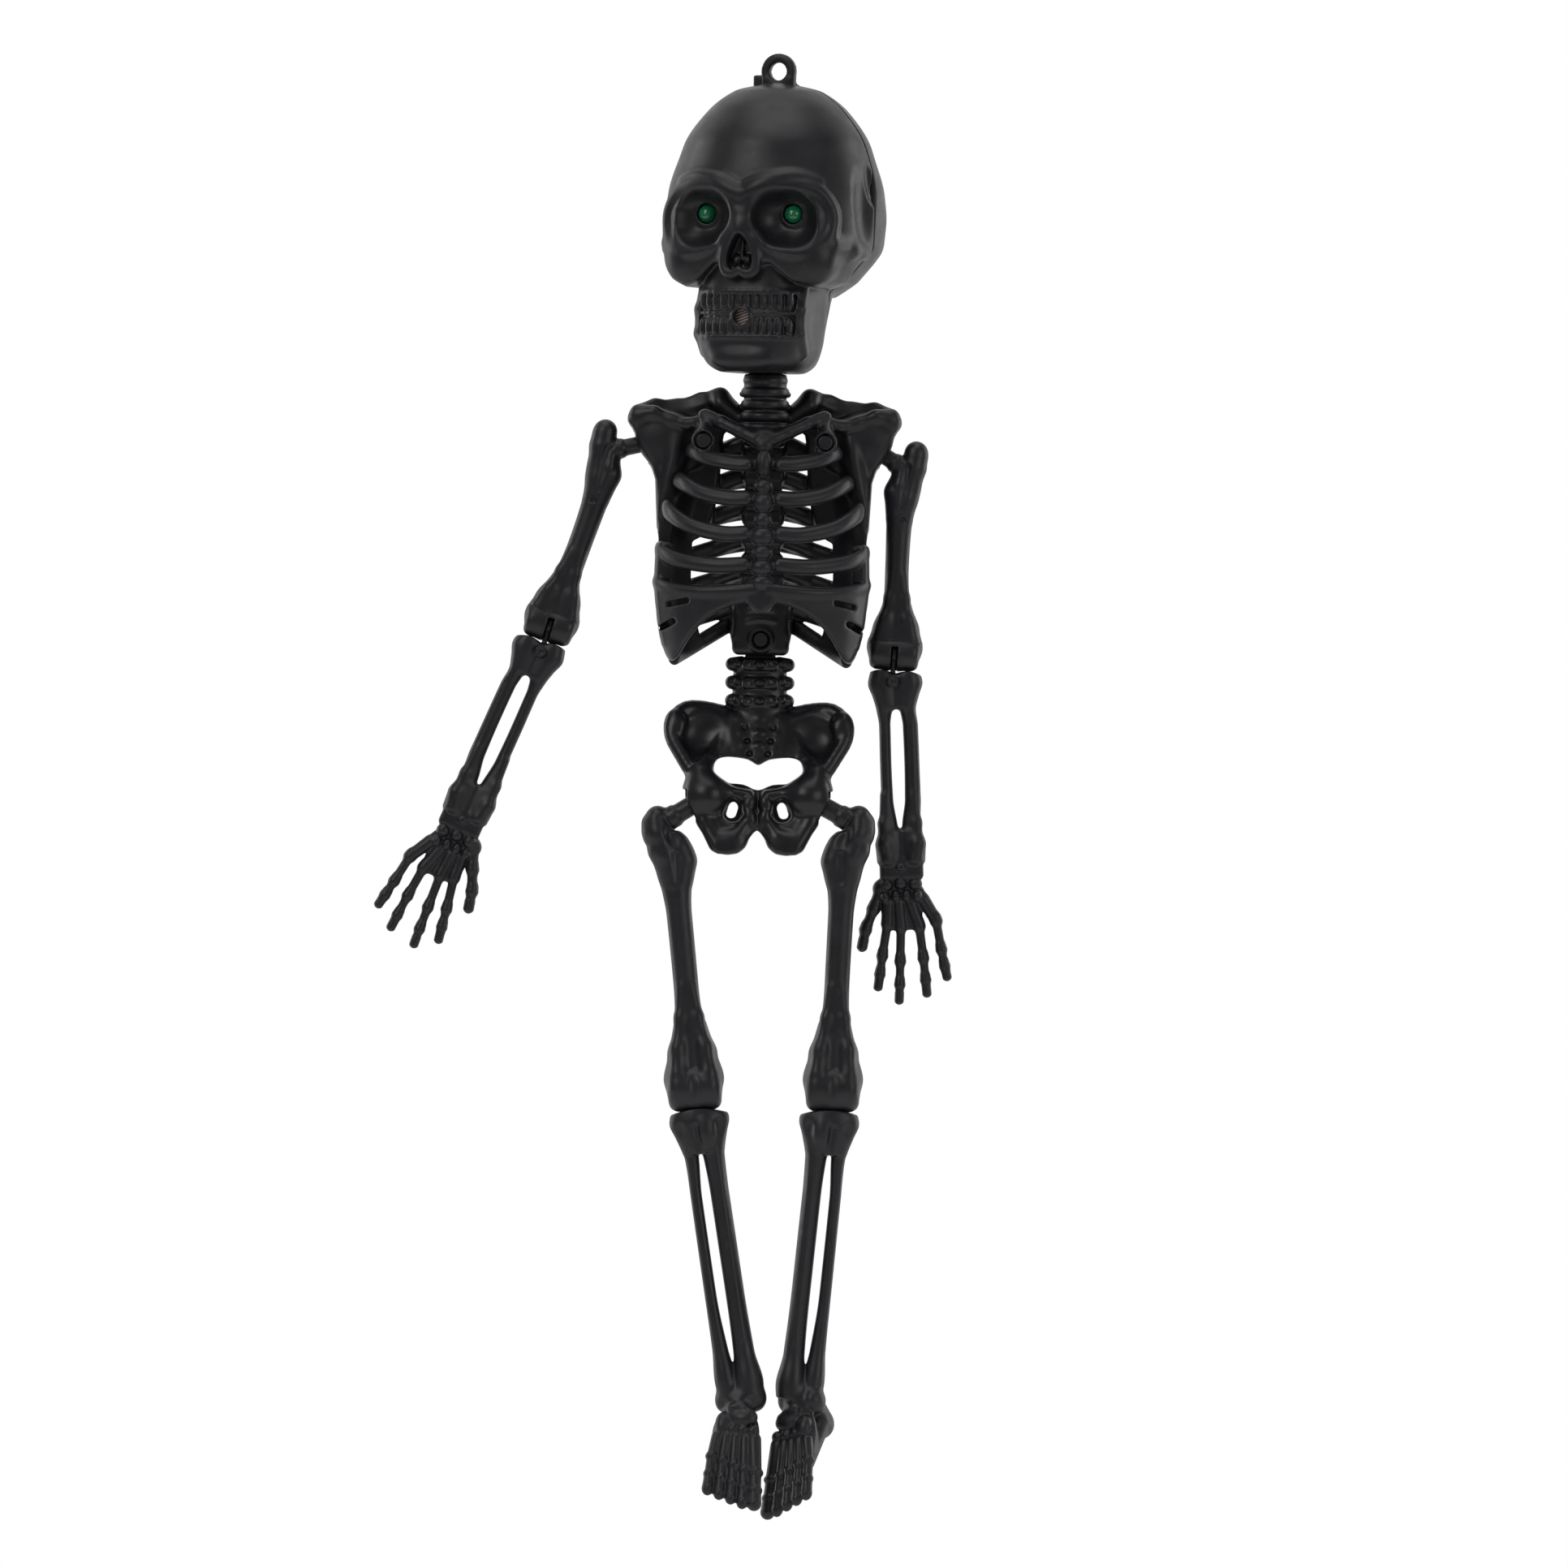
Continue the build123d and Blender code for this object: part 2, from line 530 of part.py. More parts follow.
def make_ribcage_front():
    """Breastbone, collar bones, front ribs and the plate under them, in one moulding."""
    bands = []
    for z_in, x_out, z_out in FRONT_RIBS:
        bands += both_sides(slab(0, z_in, x_out, z_out, RIB_HEIGHT))
    bands += both_sides(slab(1.0, -60.4, 10.4, -56.9, 2.2))
    with BuildPart() as outline:
        with BuildSketch(Plane.XZ.offset(-25)):
            with Locations((0, (STERNUM_TOP + STERNUM_LOW) / 2)):
                Rectangle(2 * STERNUM_HALF, STERNUM_TOP - STERNUM_LOW)
            with BuildLine():
                Polyline((0.5, -84.3), (19, -83.2), (19, -91), (16.2, -96.9), (13.4, -96.9))
                Spline((13.4, -96.9), (9.6, -91.9), (4.6, -88.9), (0.5, -87.6))
                Line((0.5, -87.6), (0.5, -84.3))
            make_face()
        extrude(amount=50)
    bands += both_sides(outline.part)
    with BuildPart() as bar:
        with Locations((17, 0, -82)):
            Box(4.6, 9, 24)
    bands += both_sides(bar.part)
    with BuildPart() as ribcage_front:
        add(chest_half(True, bands))
        for s in (1, -1):
            x = s * PEG_BOSS_X
            add(rod((x, -7.0, PEG_BOSS_Z), (x, -3.4, PEG_BOSS_Z), PEG_BOSS_R + 0.9))
            add(rod((x, -9, PEG_BOSS_Z), (x, 0, PEG_BOSS_Z), PEG_BOSS_R + 0.05), mode=Mode.SUBTRACT)
    return ribcage_front.part


def shoulder_plate():
    """Shoulder blade and shoulder top of the left side, with a ball socket."""
    with BuildPart() as plate:
        with BuildSketch(Plane.XZ.offset(-1)):
            with BuildLine():
                Spline((0, -54.5), (7.4, -52.6), (12.5, -54.0), (17.7, -54.3), (21.6, -55.2), (22.5, -56.9))
                Polyline((22.5, -56.9), (21.2, -59.4), (19.5, -63), (17.6, -67), (17.2, -75.5), (14.2, -75),
                         (8.2, -66), (7.3, -61.5), (0, -60.5), (0, -54.5))
            make_face()
        extrude(amount=-6)
        with Locations(SHOULDER):
            Sphere(BALL_R + BALL_GAP + SOCKET_WALL, rotation=(0, 0, 180))
        add(socket_cut(SHOULDER, SHOULDER_SLOT, ARM_PEG_R + 0.2), mode=Mode.SUBTRACT)
    return plate.part


def socket_cut(centre, slot, gap_radius):
    """What a ball socket leaves free: the ball, and the slot that its peg moves in."""
    x, y, z = centre
    low, high = (radians(angle) for angle in slot)
    up, down = ((gap_radius * sin(angle), gap_radius * cos(angle)) for angle in (high, low))
    reach = 14.0
    with BuildPart() as cut:
        with BuildSketch(Plane.XZ.offset(-y)):
            with BuildLine():
                Polyline((x - up[0], z + up[1]), (x + reach * cos(high) - up[0], z + reach * sin(high) + up[1]),
                         (x + reach * cos(low) + down[0], z + reach * sin(low) - down[1]),
                         (x + down[0], z - down[1]), close=True)
            make_face()
        extrude(amount=gap_radius, both=True)
        with Locations(centre):
            Sphere(BALL_R + BALL_GAP, rotation=(0, 0, 180))
    return cut.part


def waist_bearing(clear):
    """A round boss on the waist's axis, or with clear, the hole through it."""
    radius = WAIST_PIN_R + (0.03 if clear else 1.0)
    reach = 6.5 if clear else 3.3
    return rod((0, WAIST_Y - reach, WAIST_Z), (0, WAIST_Y + reach, WAIST_Z), radius)


def make_ribcage_back():
    """Spine, neck, shoulder blades with sockets, back ribs and the waist's clevis, in one moulding."""
    bands = []
    for i in range(BACK_RIB_COUNT):
        z = BACK_RIB_TOP - i * BACK_RIB_PITCH
        bands += both_sides(slab(0, z, 19, z - 19 * sin(radians(BACK_RIB_SLOPE)), 3.0))
    bands += both_sides(slab(0, -88.6, 13.6, -96.2, 2.6))
    with BuildPart() as bar:
        with Locations((17, 0, -80)):
            Box(4.6, 9, 24)
    bands += both_sides(bar.part)
    plate = shoulder_plate()
    with BuildPart() as ribcage_back:
        add(chest_half(False, bands))
        add(both_sides(plate))
        with Locations((0, 5.6, -74)):
            Box(7.0, 6.0, 34)
        for z in range(-87, -56, 5):
            add(rod((0, 5.4, z), (0, 5.4, z - 2.2), 3.8))
        with Locations((0, WAIST_Y, (WAIST_TOP + WAIST_LOW) / 2)):
            Box(2 * WAIST_HALF, WAIST_TONGUE + 0.3 + 2 * WAIST_CHEEK, WAIST_TOP - WAIST_LOW)
        add(waist_bearing(False))
        # neck: ridged below, with a groove and a flange that the skull's floor closes on
        add(rod((0, 0, NECK_BASE), (0, 0, -52.5), NECK_RIDGE_R))
        add(rod((0, 0, -53), (0, 0, NECK_TOP), NECK_R))
        add(rod((0, 0, -50), (0, 0, SKULL_FLOOR_Z + 1.0), NECK_POST_R))
        add(rod((0, 0, SKULL_FLOOR_Z + 0.1), (0, 0, SKULL_FLOOR_Z + 1.5), NECK_FLANGE_R))
        with Locations((0, 2.6, -58.2)):
            Box(7.4, 8.0, 5.0)
        for s in (1, -1):
            x = s * PEG_BOSS_X
            add(rod((x, 1.5, PEG_BOSS_Z), (x, -6.6, PEG_BOSS_Z), PEG_BOSS_R))
        # the clevis that the lower back's tongue turns in
        with Locations((0, WAIST_Y, WAIST_Z - 1.2)):
            Box(2 * WAIST_HALF + 1, WAIST_TONGUE + 0.3, 2 * TONGUE_R + 3, mode=Mode.SUBTRACT)
        add(waist_bearing(True), mode=Mode.SUBTRACT)
    return ribcage_back.part


def make_waist_pin():
    return rod((0, WAIST_Y - 3.9, WAIST_Z), (0, WAIST_Y + 3.3, WAIST_Z), WAIST_PIN_R)


# ---- lower back and pelvis ----------------------------------------------------------------------
def make_pelvis():
    """Lower spine, sacrum, hip bones and sockets, in one moulding."""
    lean = Plane(origin=(0, 0.8, -113), x_dir=(1, 0, 0), z_dir=(0, -cos(radians(22)), sin(radians(22))))
    with BuildPart() as pelvis:
        with BuildSketch(lean):
            with BuildLine():
                Polyline((0, 9.2), (5.1, 8.4), (8.2, 10.3), (12.1, 9.6), (15.4, 6.0))
                Spline((15.4, 6.0), (11.4, -1.7), (11.6, -7.0), (8.6, -12.0), (6.2, -16.4))
                Polyline((6.2, -16.4), (1.6, -16.2), (0, -13.0), (0, 9.2))
            make_face()
            mirror(about=Plane.YZ)
            with BuildLine():
                Polyline((-7.2, 0.6), (-3.6, -1.2), (0, -0.8), (3.6, -1.2), (7.2, 0.6), (5.6, -3.4),
                         (0, -5.4), (-5.6, -3.4), close=True)
            make_face(mode=Mode.SUBTRACT)
            with Locations((4.2, -9.2), (-4.2, -9.2)):
                Ellipse(1.1, 1.5, mode=Mode.SUBTRACT)
        extrude(amount=1.8, both=True)
        for z in (-97.5, -100.5, -103.5):
            with Locations((0, WAIST_Y - 0.2, z)):
                Box(11.3, 2.6, 1.6)
        add(bone([(-112.0, 0, 3.4, 3.6, 2.4), (-105, 0, 4.6, 4.4, 2.9), (-97.0, 0, 5.2, 4.3, 2.8)]))
        add(waist_tongue())
        for s in (1, -1):
            with Locations((s * HIP[0], HIP[1], HIP[2])):
                Sphere(BALL_R + BALL_GAP + SOCKET_WALL, rotation=(0, 0, 90 - s * 90))
        for cut in both_sides(socket_cut(HIP, HIP_SLOT, LEG_PEG_R + 0.2)):
            add(cut, mode=Mode.SUBTRACT)
    return pelvis.part


def waist_tongue():
    """The flat tongue that the waist's pin goes through."""
    with BuildPart() as tongue:
        with BuildSketch(Plane.XZ.offset(-WAIST_Y - WAIST_TONGUE / 2)):
            with Locations((0, WAIST_Z)):
                Circle(TONGUE_R)
            with Locations((0, WAIST_Z - 2.4)):
                Rectangle(5.0, 4.8)
            with Locations((0, WAIST_Z)):
                Circle(WAIST_PIN_R + 0.06, mode=Mode.SUBTRACT)
        extrude(amount=WAIST_TONGUE)
    return tongue.part


# ---- limbs, each made for the left side with its origin at its ball -----------------------------
def limb_ball(down):
    """The ball on the end of a limb's peg, bored along the peg."""
    slope = radians(-down)
    reach = 2 * BALL_R
    with BuildPart() as ball:
        Sphere(BALL_R)
        add(rod((-reach * cos(slope), 0, -reach * sin(slope)), (reach * cos(slope), 0, reach * sin(slope)),
                BALL_BORE_R), mode=Mode.SUBTRACT)
    return ball.part


def peg(down, length, radius, slack):
    """A limb's peg: a thin tip inside the ball, then the thicker part that shows."""
    slope = radians(-down)
    along = Vector(cos(slope), 0, sin(slope))
    first, neck, last = -BALL_R + 0.4, BALL_R + 0.15 - slack, length
    with BuildPart() as part:
        add(rod(tuple(along * (first - slack)), tuple(along * (neck + 0.5)), TIP_R))
        add(rod(tuple(along * (neck + slack)), tuple(along * last), radius))
    return part.part


def hinge_slot(hinge, radius, tongue, half):
    """What a bone's end leaves free for the tongue and its trunnions."""
    x, y, z = hinge
    with BuildPart() as slot:
        add(disc(hinge, radius + 0.4, tongue / 2 + 0.2))
        add(disc(hinge, TRUNNION_R + 0.06, half))
        with Locations((x, y, z - radius)):
            Box(tongue + 0.4, 2 * radius + 2, 2 * radius)
    return slot.part


def hinge_tongue(hinge, radius, tongue):
    """The lower bone's tongue and trunnions."""
    x, y, z = hinge
    with BuildPart() as part:
        add(disc(hinge, radius, tongue / 2))
        add(disc(hinge, TRUNNION_R, tongue / 2 + 1.6))
        with Locations((x, y, z - radius - 0.9)):
            Box(tongue, 2 * radius * 0.8, 2 * radius * 0.5 + 1.8)
    return part.part


def hung(bone_end, hinge, radius, tongue, angle):
    """A lower bone under its hinge, leaning out by an angle, with a cup for the barrel and a tongue."""
    with BuildPart() as lower:
        add(bone_end.moved(Location((0, 0, -radius))).moved(Location(hinge, (0, -angle, 0))))
        add(disc(hinge, radius + HINGE_GAP, 7), mode=Mode.SUBTRACT)
        add(hinge_tongue(hinge, radius - 0.2, tongue))
    return lower.part


def make_humerus():
    stations = [(0.5, 7.6, 0, 0.7, 0.7), (-0.4, 7.6, 0, 1.5, 1.3), (-2.6, 7.2, 0, 2.3, 1.9),
                (-6.0, 6.2, 0, 2.8, 2.2), (-10.5, 6.2, 0, 2.05, 1.9), (-20.0, 6.6, 0, 1.9, 1.9),
                (-27.0, 7.0, 0, 2.1, 1.9), (-31.0, 7.2, 0, 3.2, 1.9), (-34.1, 7.2, 0, 3.9, 1.9)]
    with BuildPart() as humerus:
        add(bone(stations))
        add(hinge_barrel(ELBOW, ELBOW_R, ELBOW_HALF, 1.0))
        add(peg(SHOULDER_PEG_DOWN, 7.2, ARM_PEG_R, 0.0))
        add(hinge_slot(ELBOW, ELBOW_R, ELBOW_TONGUE, ELBOW_TONGUE / 2 + 1.7), mode=Mode.SUBTRACT)
    return humerus.part


# each digit: base, middle joint and tip, seen from the front, from the elbow's front centre
FINGERS = [
    [(-2.4, -36.0), (-2.6, -41.4), (-3.6, -46.6), (-4.5, -51.9)],
    [(-0.7, -36.0), (-0.4, -42.0), (-0.7, -47.6), (-1.1, -54.2)],
    [(1.2, -36.0), (2.6, -42.0), (3.1, -47.2), (3.5, -53.2)],
    [(3.2, -35.6), (5.4, -41.2), (6.1, -45.9), (6.9, -50.6)],
    [(-3.0, -34.6), (-4.8, -38.9), (-6.2, -42.2), (-6.9, -45.2)],
]
FINGER_RADII = (1.05, 0.95, 0.85, 0.7)


def digit(points, radii, depth):
    """A finger or toe: tapered rods with round joints."""
    with BuildPart() as bones:
        for (a, b), (r_a, r_b) in zip(zip(points, points[1:]), zip(radii, radii[1:])):
            add(rod((a[0], depth, a[1]), (b[0], depth, b[1]), r_a, r_b))
        for (x, z), radius in zip(points, radii):
            with Locations((x, depth, z)):
                Sphere(radius + 0.12)
    return bones.part


def make_forearm_hand():
    """Two forearm bones and the open hand, in one moulding, from the elbow's front centre down."""
    with BuildPart() as forearm:
        add(bone([(-6.6, -1.9, 0, 1.3, 1.3), (-3.6, -2.2, 0, 1.9, 1.9), (-0.9, -2.4, 0, 2.1, 2.3),
                  (1.4, -2.4, 0, 1.9, 2.3)]))
        add(bone([(-6.6, 1.9, 0, 1.5, 1.5), (-3.6, 2.3, 0, 2.0, 1.9), (-0.9, 2.4, 0, 2.1, 2.3),
                  (1.4, 2.4, 0, 1.9, 2.3)]))
        add(bone([(-30.5, -2.0, 0, 1.9, 1.7), (-26.0, -1.6, 0, 1.2, 1.3), (-14.0, -2.2, 0, 0.95, 1.1),
                  (-6.0, -1.9, 0, 1.3, 1.3)]))
        add(bone([(-30.5, 2.0, 0, 2.0, 1.7), (-26.0, 1.7, 0, 1.6, 1.4), (-14.0, 1.7, 0, 1.25, 1.25),
                  (-6.0, 1.9, 0, 1.5, 1.5)]))
        with Locations((0, 0, -3.6)):
            Box(4.0, 3.0, 5.0)
        add(bone([(-37.0, 0.4, 0, 4.2, 1.2), (-33.5, 0, 0, 3.8, 1.5), (-28.6, 0, 0, 3.7, 1.5)]))
        for points in FINGERS:
            add(digit(points, FINGER_RADII, 0.0))
    return hung(forearm.part, ELBOW, ELBOW_R, ELBOW_TONGUE, FOREARM_ANGLE)


def make_femur():
    stations = [(-2.2, 8.4, 0, 1.5, 1.4), (-4.6, 8.4, 0, 2.3, 2.0), (-8.6, 6.2, 0, 3.1, 2.4),
                (-13.0, 5.9, 0, 2.4, 2.2), (-19.0, 5.7, 0, 2.0, 2.0), (-34.5, 5.2, 0, 2.1, 2.1),
                (-40.0, 5.0, 0, 2.9, 2.5), (-44.5, 4.9, 0, 3.9, 2.7), (-47.6, 4.9, 0, 4.2, 2.7)]
    with BuildPart() as femur:
        add(bone(stations))
        with Locations((8.3, 0, -4.4)):
            Sphere(2.35)
        add(hinge_barrel(KNEE, KNEE_R, KNEE_HALF, 1.4))
        add(peg(HIP_PEG_DOWN, 7.6, LEG_PEG_R, 0.0))
        add(hinge_slot(KNEE, KNEE_R, KNEE_TONGUE, KNEE_TONGUE / 2 + 1.7), mode=Mode.SUBTRACT)
    return femur.part


TOES = 5
FOOT_LENGTH = 21.0


def foot():
    """A foot pointing down: ankle, heel, instep and toes, from the ankle's centre."""
    slope = radians(FOOT_SLOPE)
    with BuildPart() as part:
        add(rod((0, 0, 1.0), (0, 2.6, -5.0), 3.2, 2.4))
        with Locations((0, 3.0, -5.2)):
            Sphere(2.6)
        add(rod((0, -0.2, 0.5), (0, -3.6, -9.0), 3.0, 2.6))
        for i in range(TOES):
            across = (i - (TOES - 1) / 2) * 1.8
            length = FOOT_LENGTH - 0.9 * abs(i - 1)
            radius = 1.35 if i == 0 else 1.0
            tip = (across * 1.08, -length * sin(slope), -length * cos(slope))
            add(rod((across * 0.75, -1.6, -5.0), tip, radius + 0.5, radius))
            with Locations(tip):
                Sphere(radius)
    return part.part


def make_shank_foot(side):
    """Shin bone, calf bone and foot, in one moulding, from the knee's front centre down."""
    turned = foot().moved(Location((0, 0, 0), (0, 0, -FOOT_YAW[side])))
    turned = turned.moved(Location((0, 0, ANKLE_DOWN), (0, -FOOT_TURN[side], 0)))
    with BuildPart() as shank:
        add(bone([(-7.0, 0, 0, 3.2, 2.2), (-3.0, 0, 0, 4.4, 2.9), (-0.5, 0, 0, 4.9, 3.2),
                  (1.6, 0, 0, 4.9, 3.2)]))
        add(bone([(ANKLE_DOWN, -1.2, 0, 2.4, 2.6), (ANKLE_DOWN + 5, -1.7, 0, 1.8, 1.8),
                  (-24, -1.6, 0, 1.55, 1.6),
                  (-6.0, -1.6, 0, 2.0, 2.0)]))
        add(bone([(ANKLE_DOWN, 1.6, 0, 1.7, 2.0), (ANKLE_DOWN + 6, 2.0, 0, 1.2, 1.3),
                  (-24, 2.3, 0, 0.95, 1.0),
                  (-6.0, 1.9, 0, 1.4, 1.6)]))
        add(turned)
    return hung(shank.part, KNEE, KNEE_R, KNEE_TONGUE, SHANK_ANGLE)


def write_limbs():
    humerus, forearm = make_humerus(), make_forearm_hand()
    femur = make_femur()
    for side in SIDES:
        arm = limb_place(side, SHOULDER, ARM_LEAN[side], (ARM_SLACK[side], SHOULDER_PEG_DOWN))
        arm_ball = limb_place(side, SHOULDER, ARM_LEAN[side])
        keep(one_side(limb_ball(SHOULDER_PEG_DOWN), side), f"shoulder_ball_{side}", arm_ball)
        keep(one_side(humerus, side), f"humerus_{side}", arm)
        keep(one_side(forearm, side), f"forearm_hand_{side}", arm)
        leg = limb_place(side, HIP, LEG_LEAN[side])
        swing = -LEG_FORWARD[side]
        peg_axis = Axis((0, 0, 0), (cos(radians(HIP_PEG_DOWN)), 0, -sin(radians(HIP_PEG_DOWN))))
        keep(one_side(limb_ball(HIP_PEG_DOWN), side), f"hip_ball_{side}", leg)
        keep(one_side(femur.rotate(peg_axis, swing), side), f"femur_{side}", leg)
        shank = make_shank_foot(side).rotate(peg_axis, swing)
        keep(one_side(shank, side), f"shank_foot_{side}", leg)


os.makedirs("parts", exist_ok=True)
write_skull()
keep(make_ribcage_front(), "ribcage_front", BODY_PLACE)
keep(make_ribcage_back(), "ribcage_back", BODY_PLACE)
keep(make_waist_pin(), "waist_pin", BODY_PLACE)
keep(make_pelvis(), "lower_back_pelvis", BODY_PLACE)
write_limbs()
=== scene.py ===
import json
import math

import bpy
import numpy as np
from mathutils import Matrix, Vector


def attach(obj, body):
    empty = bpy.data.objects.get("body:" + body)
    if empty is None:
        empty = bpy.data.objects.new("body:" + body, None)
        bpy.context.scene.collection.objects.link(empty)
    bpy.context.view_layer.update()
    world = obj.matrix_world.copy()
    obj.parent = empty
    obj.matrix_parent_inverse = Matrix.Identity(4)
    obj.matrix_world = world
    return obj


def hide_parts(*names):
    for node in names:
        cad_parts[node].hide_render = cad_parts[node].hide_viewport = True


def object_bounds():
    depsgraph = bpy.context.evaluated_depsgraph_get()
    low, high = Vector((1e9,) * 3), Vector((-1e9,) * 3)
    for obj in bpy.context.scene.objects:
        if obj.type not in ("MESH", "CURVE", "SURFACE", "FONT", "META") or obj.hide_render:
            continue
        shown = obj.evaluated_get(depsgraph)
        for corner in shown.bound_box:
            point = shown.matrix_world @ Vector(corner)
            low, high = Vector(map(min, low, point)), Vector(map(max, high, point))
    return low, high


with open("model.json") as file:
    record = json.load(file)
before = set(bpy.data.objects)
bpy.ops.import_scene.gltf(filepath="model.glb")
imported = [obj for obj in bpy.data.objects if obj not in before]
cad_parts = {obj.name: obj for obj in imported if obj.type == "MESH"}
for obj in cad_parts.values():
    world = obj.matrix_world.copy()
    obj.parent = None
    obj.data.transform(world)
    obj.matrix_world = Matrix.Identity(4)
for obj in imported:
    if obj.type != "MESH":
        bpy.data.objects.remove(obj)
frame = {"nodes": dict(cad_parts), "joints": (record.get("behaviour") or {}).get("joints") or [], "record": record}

import openvdb
from mathutils import Euler, Matrix, Vector

# A hanging, jointed skeleton figure in black plastic. The bones are modelled here in millimetres, each in
# its own upright frame, as signed distances on a grid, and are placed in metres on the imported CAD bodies.
# "left" and "right" are the figure's own sides, left at +X. The front is -Y.

MM = 0.001
CAD_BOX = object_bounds()
SIDES = {"left": 1, "right": -1}
BOTH = (1, -1)  # signs for left and right, or for back and front

JOINTS = {joint["name"]: joint for joint in frame["joints"]}
LOOP_AXIS = Vector(frame["record"]["mounts"][0]["axis"])
HEAD_TURN = math.atan2(LOOP_AXIS.x, -LOOP_AXIS.y)
NECK = Vector(JOINTS["neck_swivel"]["pos_m"]) / MM
NECK_FORWARD = Vector((NECK.x, NECK.y)).length
HEAD_PLACE = Matrix.Rotation(HEAD_TURN, 4, "Z")
BODY_PLACE = Matrix.Translation((NECK.x, NECK.y, 0))


# ---- shapes: (lowest corner, highest corner, signed distance as a function of x, y and z) ---------
def smooth_min(a, b, soft):
    if soft <= 0:
        return np.minimum(a, b)
    near = np.maximum(soft - np.abs(a - b), 0) / soft
    return np.minimum(a, b) - near * near * soft / 4


def around(points, reach):
    """A box round some points."""
    points = np.array(points, float)
    return points.min(0) - reach, points.max(0) + reach


def egg(centre, radii, turn=(0, 0, 0)):
    """An ellipsoid, turned by angles in degrees."""
    rows = np.array(Euler([math.radians(a) for a in turn]).to_matrix()).T

    def distance(x, y, z):
        p = (x - centre[0], y - centre[1], z - centre[2])
        near = far = 0
        for row, radius in zip(rows, radii):
            q = (row[0] * p[0] + row[1] * p[1] + row[2] * p[2]) / radius
            near = near + q * q
            far = far + (q / radius) ** 2
        near = np.sqrt(near)
        return near * (near - 1) / np.maximum(np.sqrt(far), 1e-6)

    return (*around([centre], max(radii)), distance)


def rod(a, b, radius, end_radius=None):
    """A round-ended rod between two points, which may taper."""
    a, b = np.array(a, float), np.array(b, float)
    end_radius = radius if end_radius is None else end_radius
    along = b - a
    length2 = max(float(along @ along), 1e-9)

    def distance(x, y, z):
        p = (x - a[0], y - a[1], z - a[2])
        t = np.clip((p[0] * along[0] + p[1] * along[1] + p[2] * along[2]) / length2, 0, 1)
        off = [(q - t * w) ** 2 for q, w in zip(p, along)]
        return np.sqrt(off[0] + off[1] + off[2]) - radius - t * (end_radius - radius)

    return (*around([a, b], max(radius, end_radius)), distance)


def rounded(u, v, rounding):
    """The distance to where two half spaces meet, u and v outside them, with a rounded edge."""
    u, v = u + rounding, v + rounding
    outside = np.sqrt(np.maximum(u, 0) ** 2 + np.maximum(v, 0) ** 2)
    return np.minimum(np.maximum(u, v), 0) + outside - rounding


def drum(a, b, radius, rounding=0.0):
    """A flat-ended cylinder between two points."""
    a, b = np.array(a, float), np.array(b, float)
    length = float(np.linalg.norm(b - a))
    way = (b - a) / length

    def distance(x, y, z):
        p = (x - a[0], y - a[1], z - a[2])
        t = p[0] * way[0] + p[1] * way[1] + p[2] * way[2]
        off = np.sqrt(sum((q - t * w) ** 2 for q, w in zip(p, way)))
        return rounded(off - radius, np.abs(t - length / 2) - length / 2, rounding)

    return (*around([a, b], radius), distance)


def pin(x, z, start, end, radius, rounding=0.0):
    """A drum that lies from front to back, from y = start to y = end."""
    return drum((x, start, z), (x, end, z), radius, rounding)


def block(centre, half, rounding=0.0):
    """A rounded box."""
    def distance(x, y, z):
        u, v, w = (np.abs(at - middle) - h for at, middle, h in zip((x, y, z), centre, half))
        return rounded(rounded(u, v, rounding), w, rounding)

    return (*around([centre], np.array(half)), distance)


def smooth_line(points, steps, closed=False):
    """Points along a smooth curve through the given ones."""
    points = [np.array(p, float) for p in points]
    count = len(points)
    line = []
    for i in range(count if closed else count - 1):
        p0, p1, p2, p3 = (points[j % count] if closed else points[min(max(j, 0), count - 1)]
                          for j in (i - 1, i, i + 1, i + 2))
        for t in np.arange(steps) / steps:
            line.append(p1 + 0.5 * t * (p2 - p0 + t * (2 * p0 - 5 * p1 + 4 * p2 - p3
                                                       + t * (3 * (p1 - p2) + p3 - p0))))
    return line + [points[0] if closed else points[-1]]


def closed_line(points, steps):
    """A smooth outline through the given points, which are seen from the front."""
    return [tuple(map(float, p)) for p in smooth_line(points, steps, closed=True)[:-1]]


def outline_distance(points, x, z):
    """The distance to a closed outline seen from the front, negative inside."""
    best, inside = np.full(np.broadcast(x, z).shape, 1e6, np.float32), False
    for (ax, az), (bx, bz) in zip(points, points[1:] + points[:1]):
        dx, dz = bx - ax, bz - az
        t = np.clip(((x - ax) * dx + (z - az) * dz) / max(dx * dx + dz * dz, 1e-9), 0, 1)
        best = np.minimum(best, (x - ax - t * dx) ** 2 + (z - az - t * dz) ** 2)
        crosses = (az > z) != (bz > z)
        inside = inside ^ (crosses & (x < ax + (z - az) * dx / (dz if dz else 1e-9)))
    return np.where(inside, -1, 1) * np.sqrt(best)


def line_distance(points, x, z):
    """The distance to an open line seen from the front."""
    best = 1e6
    for (ax, az), (bx, bz) in zip(points, points[1:]):
        dx, dz = bx - ax, bz - az
        t = np.clip(((x - ax) * dx + (z - az) * dz) / max(dx * dx + dz * dz, 1e-9), 0, 1)
        best = np.minimum(best, (x - ax - t * dx) ** 2 + (z - az - t * dz) ** 2)
    return np.sqrt(best)


def prism(points, front, back, rounding):
    """An outline seen from the front, from y = front to y = back."""
    xs, zs = zip(*points)

    def distance(x, y, z):
        return rounded(outline_distance(points, x, z), np.abs(y - (front + back) / 2) - (back - front) / 2, rounding)

    return np.array([min(xs), front, min(zs)]), np.array([max(xs), back, max(zs)]), distance


def mirrored(points):
    """A half outline from the middle line out to +X, and its mirror image, as one outline."""
    return list(points) + [(-x, z) for x, z in reversed(points) if abs(x) > 1e-6]


def flip(points, side):
    """Points on the left, or their mirror images."""
    return [(side * p[0], *p[1:]) for p in points]


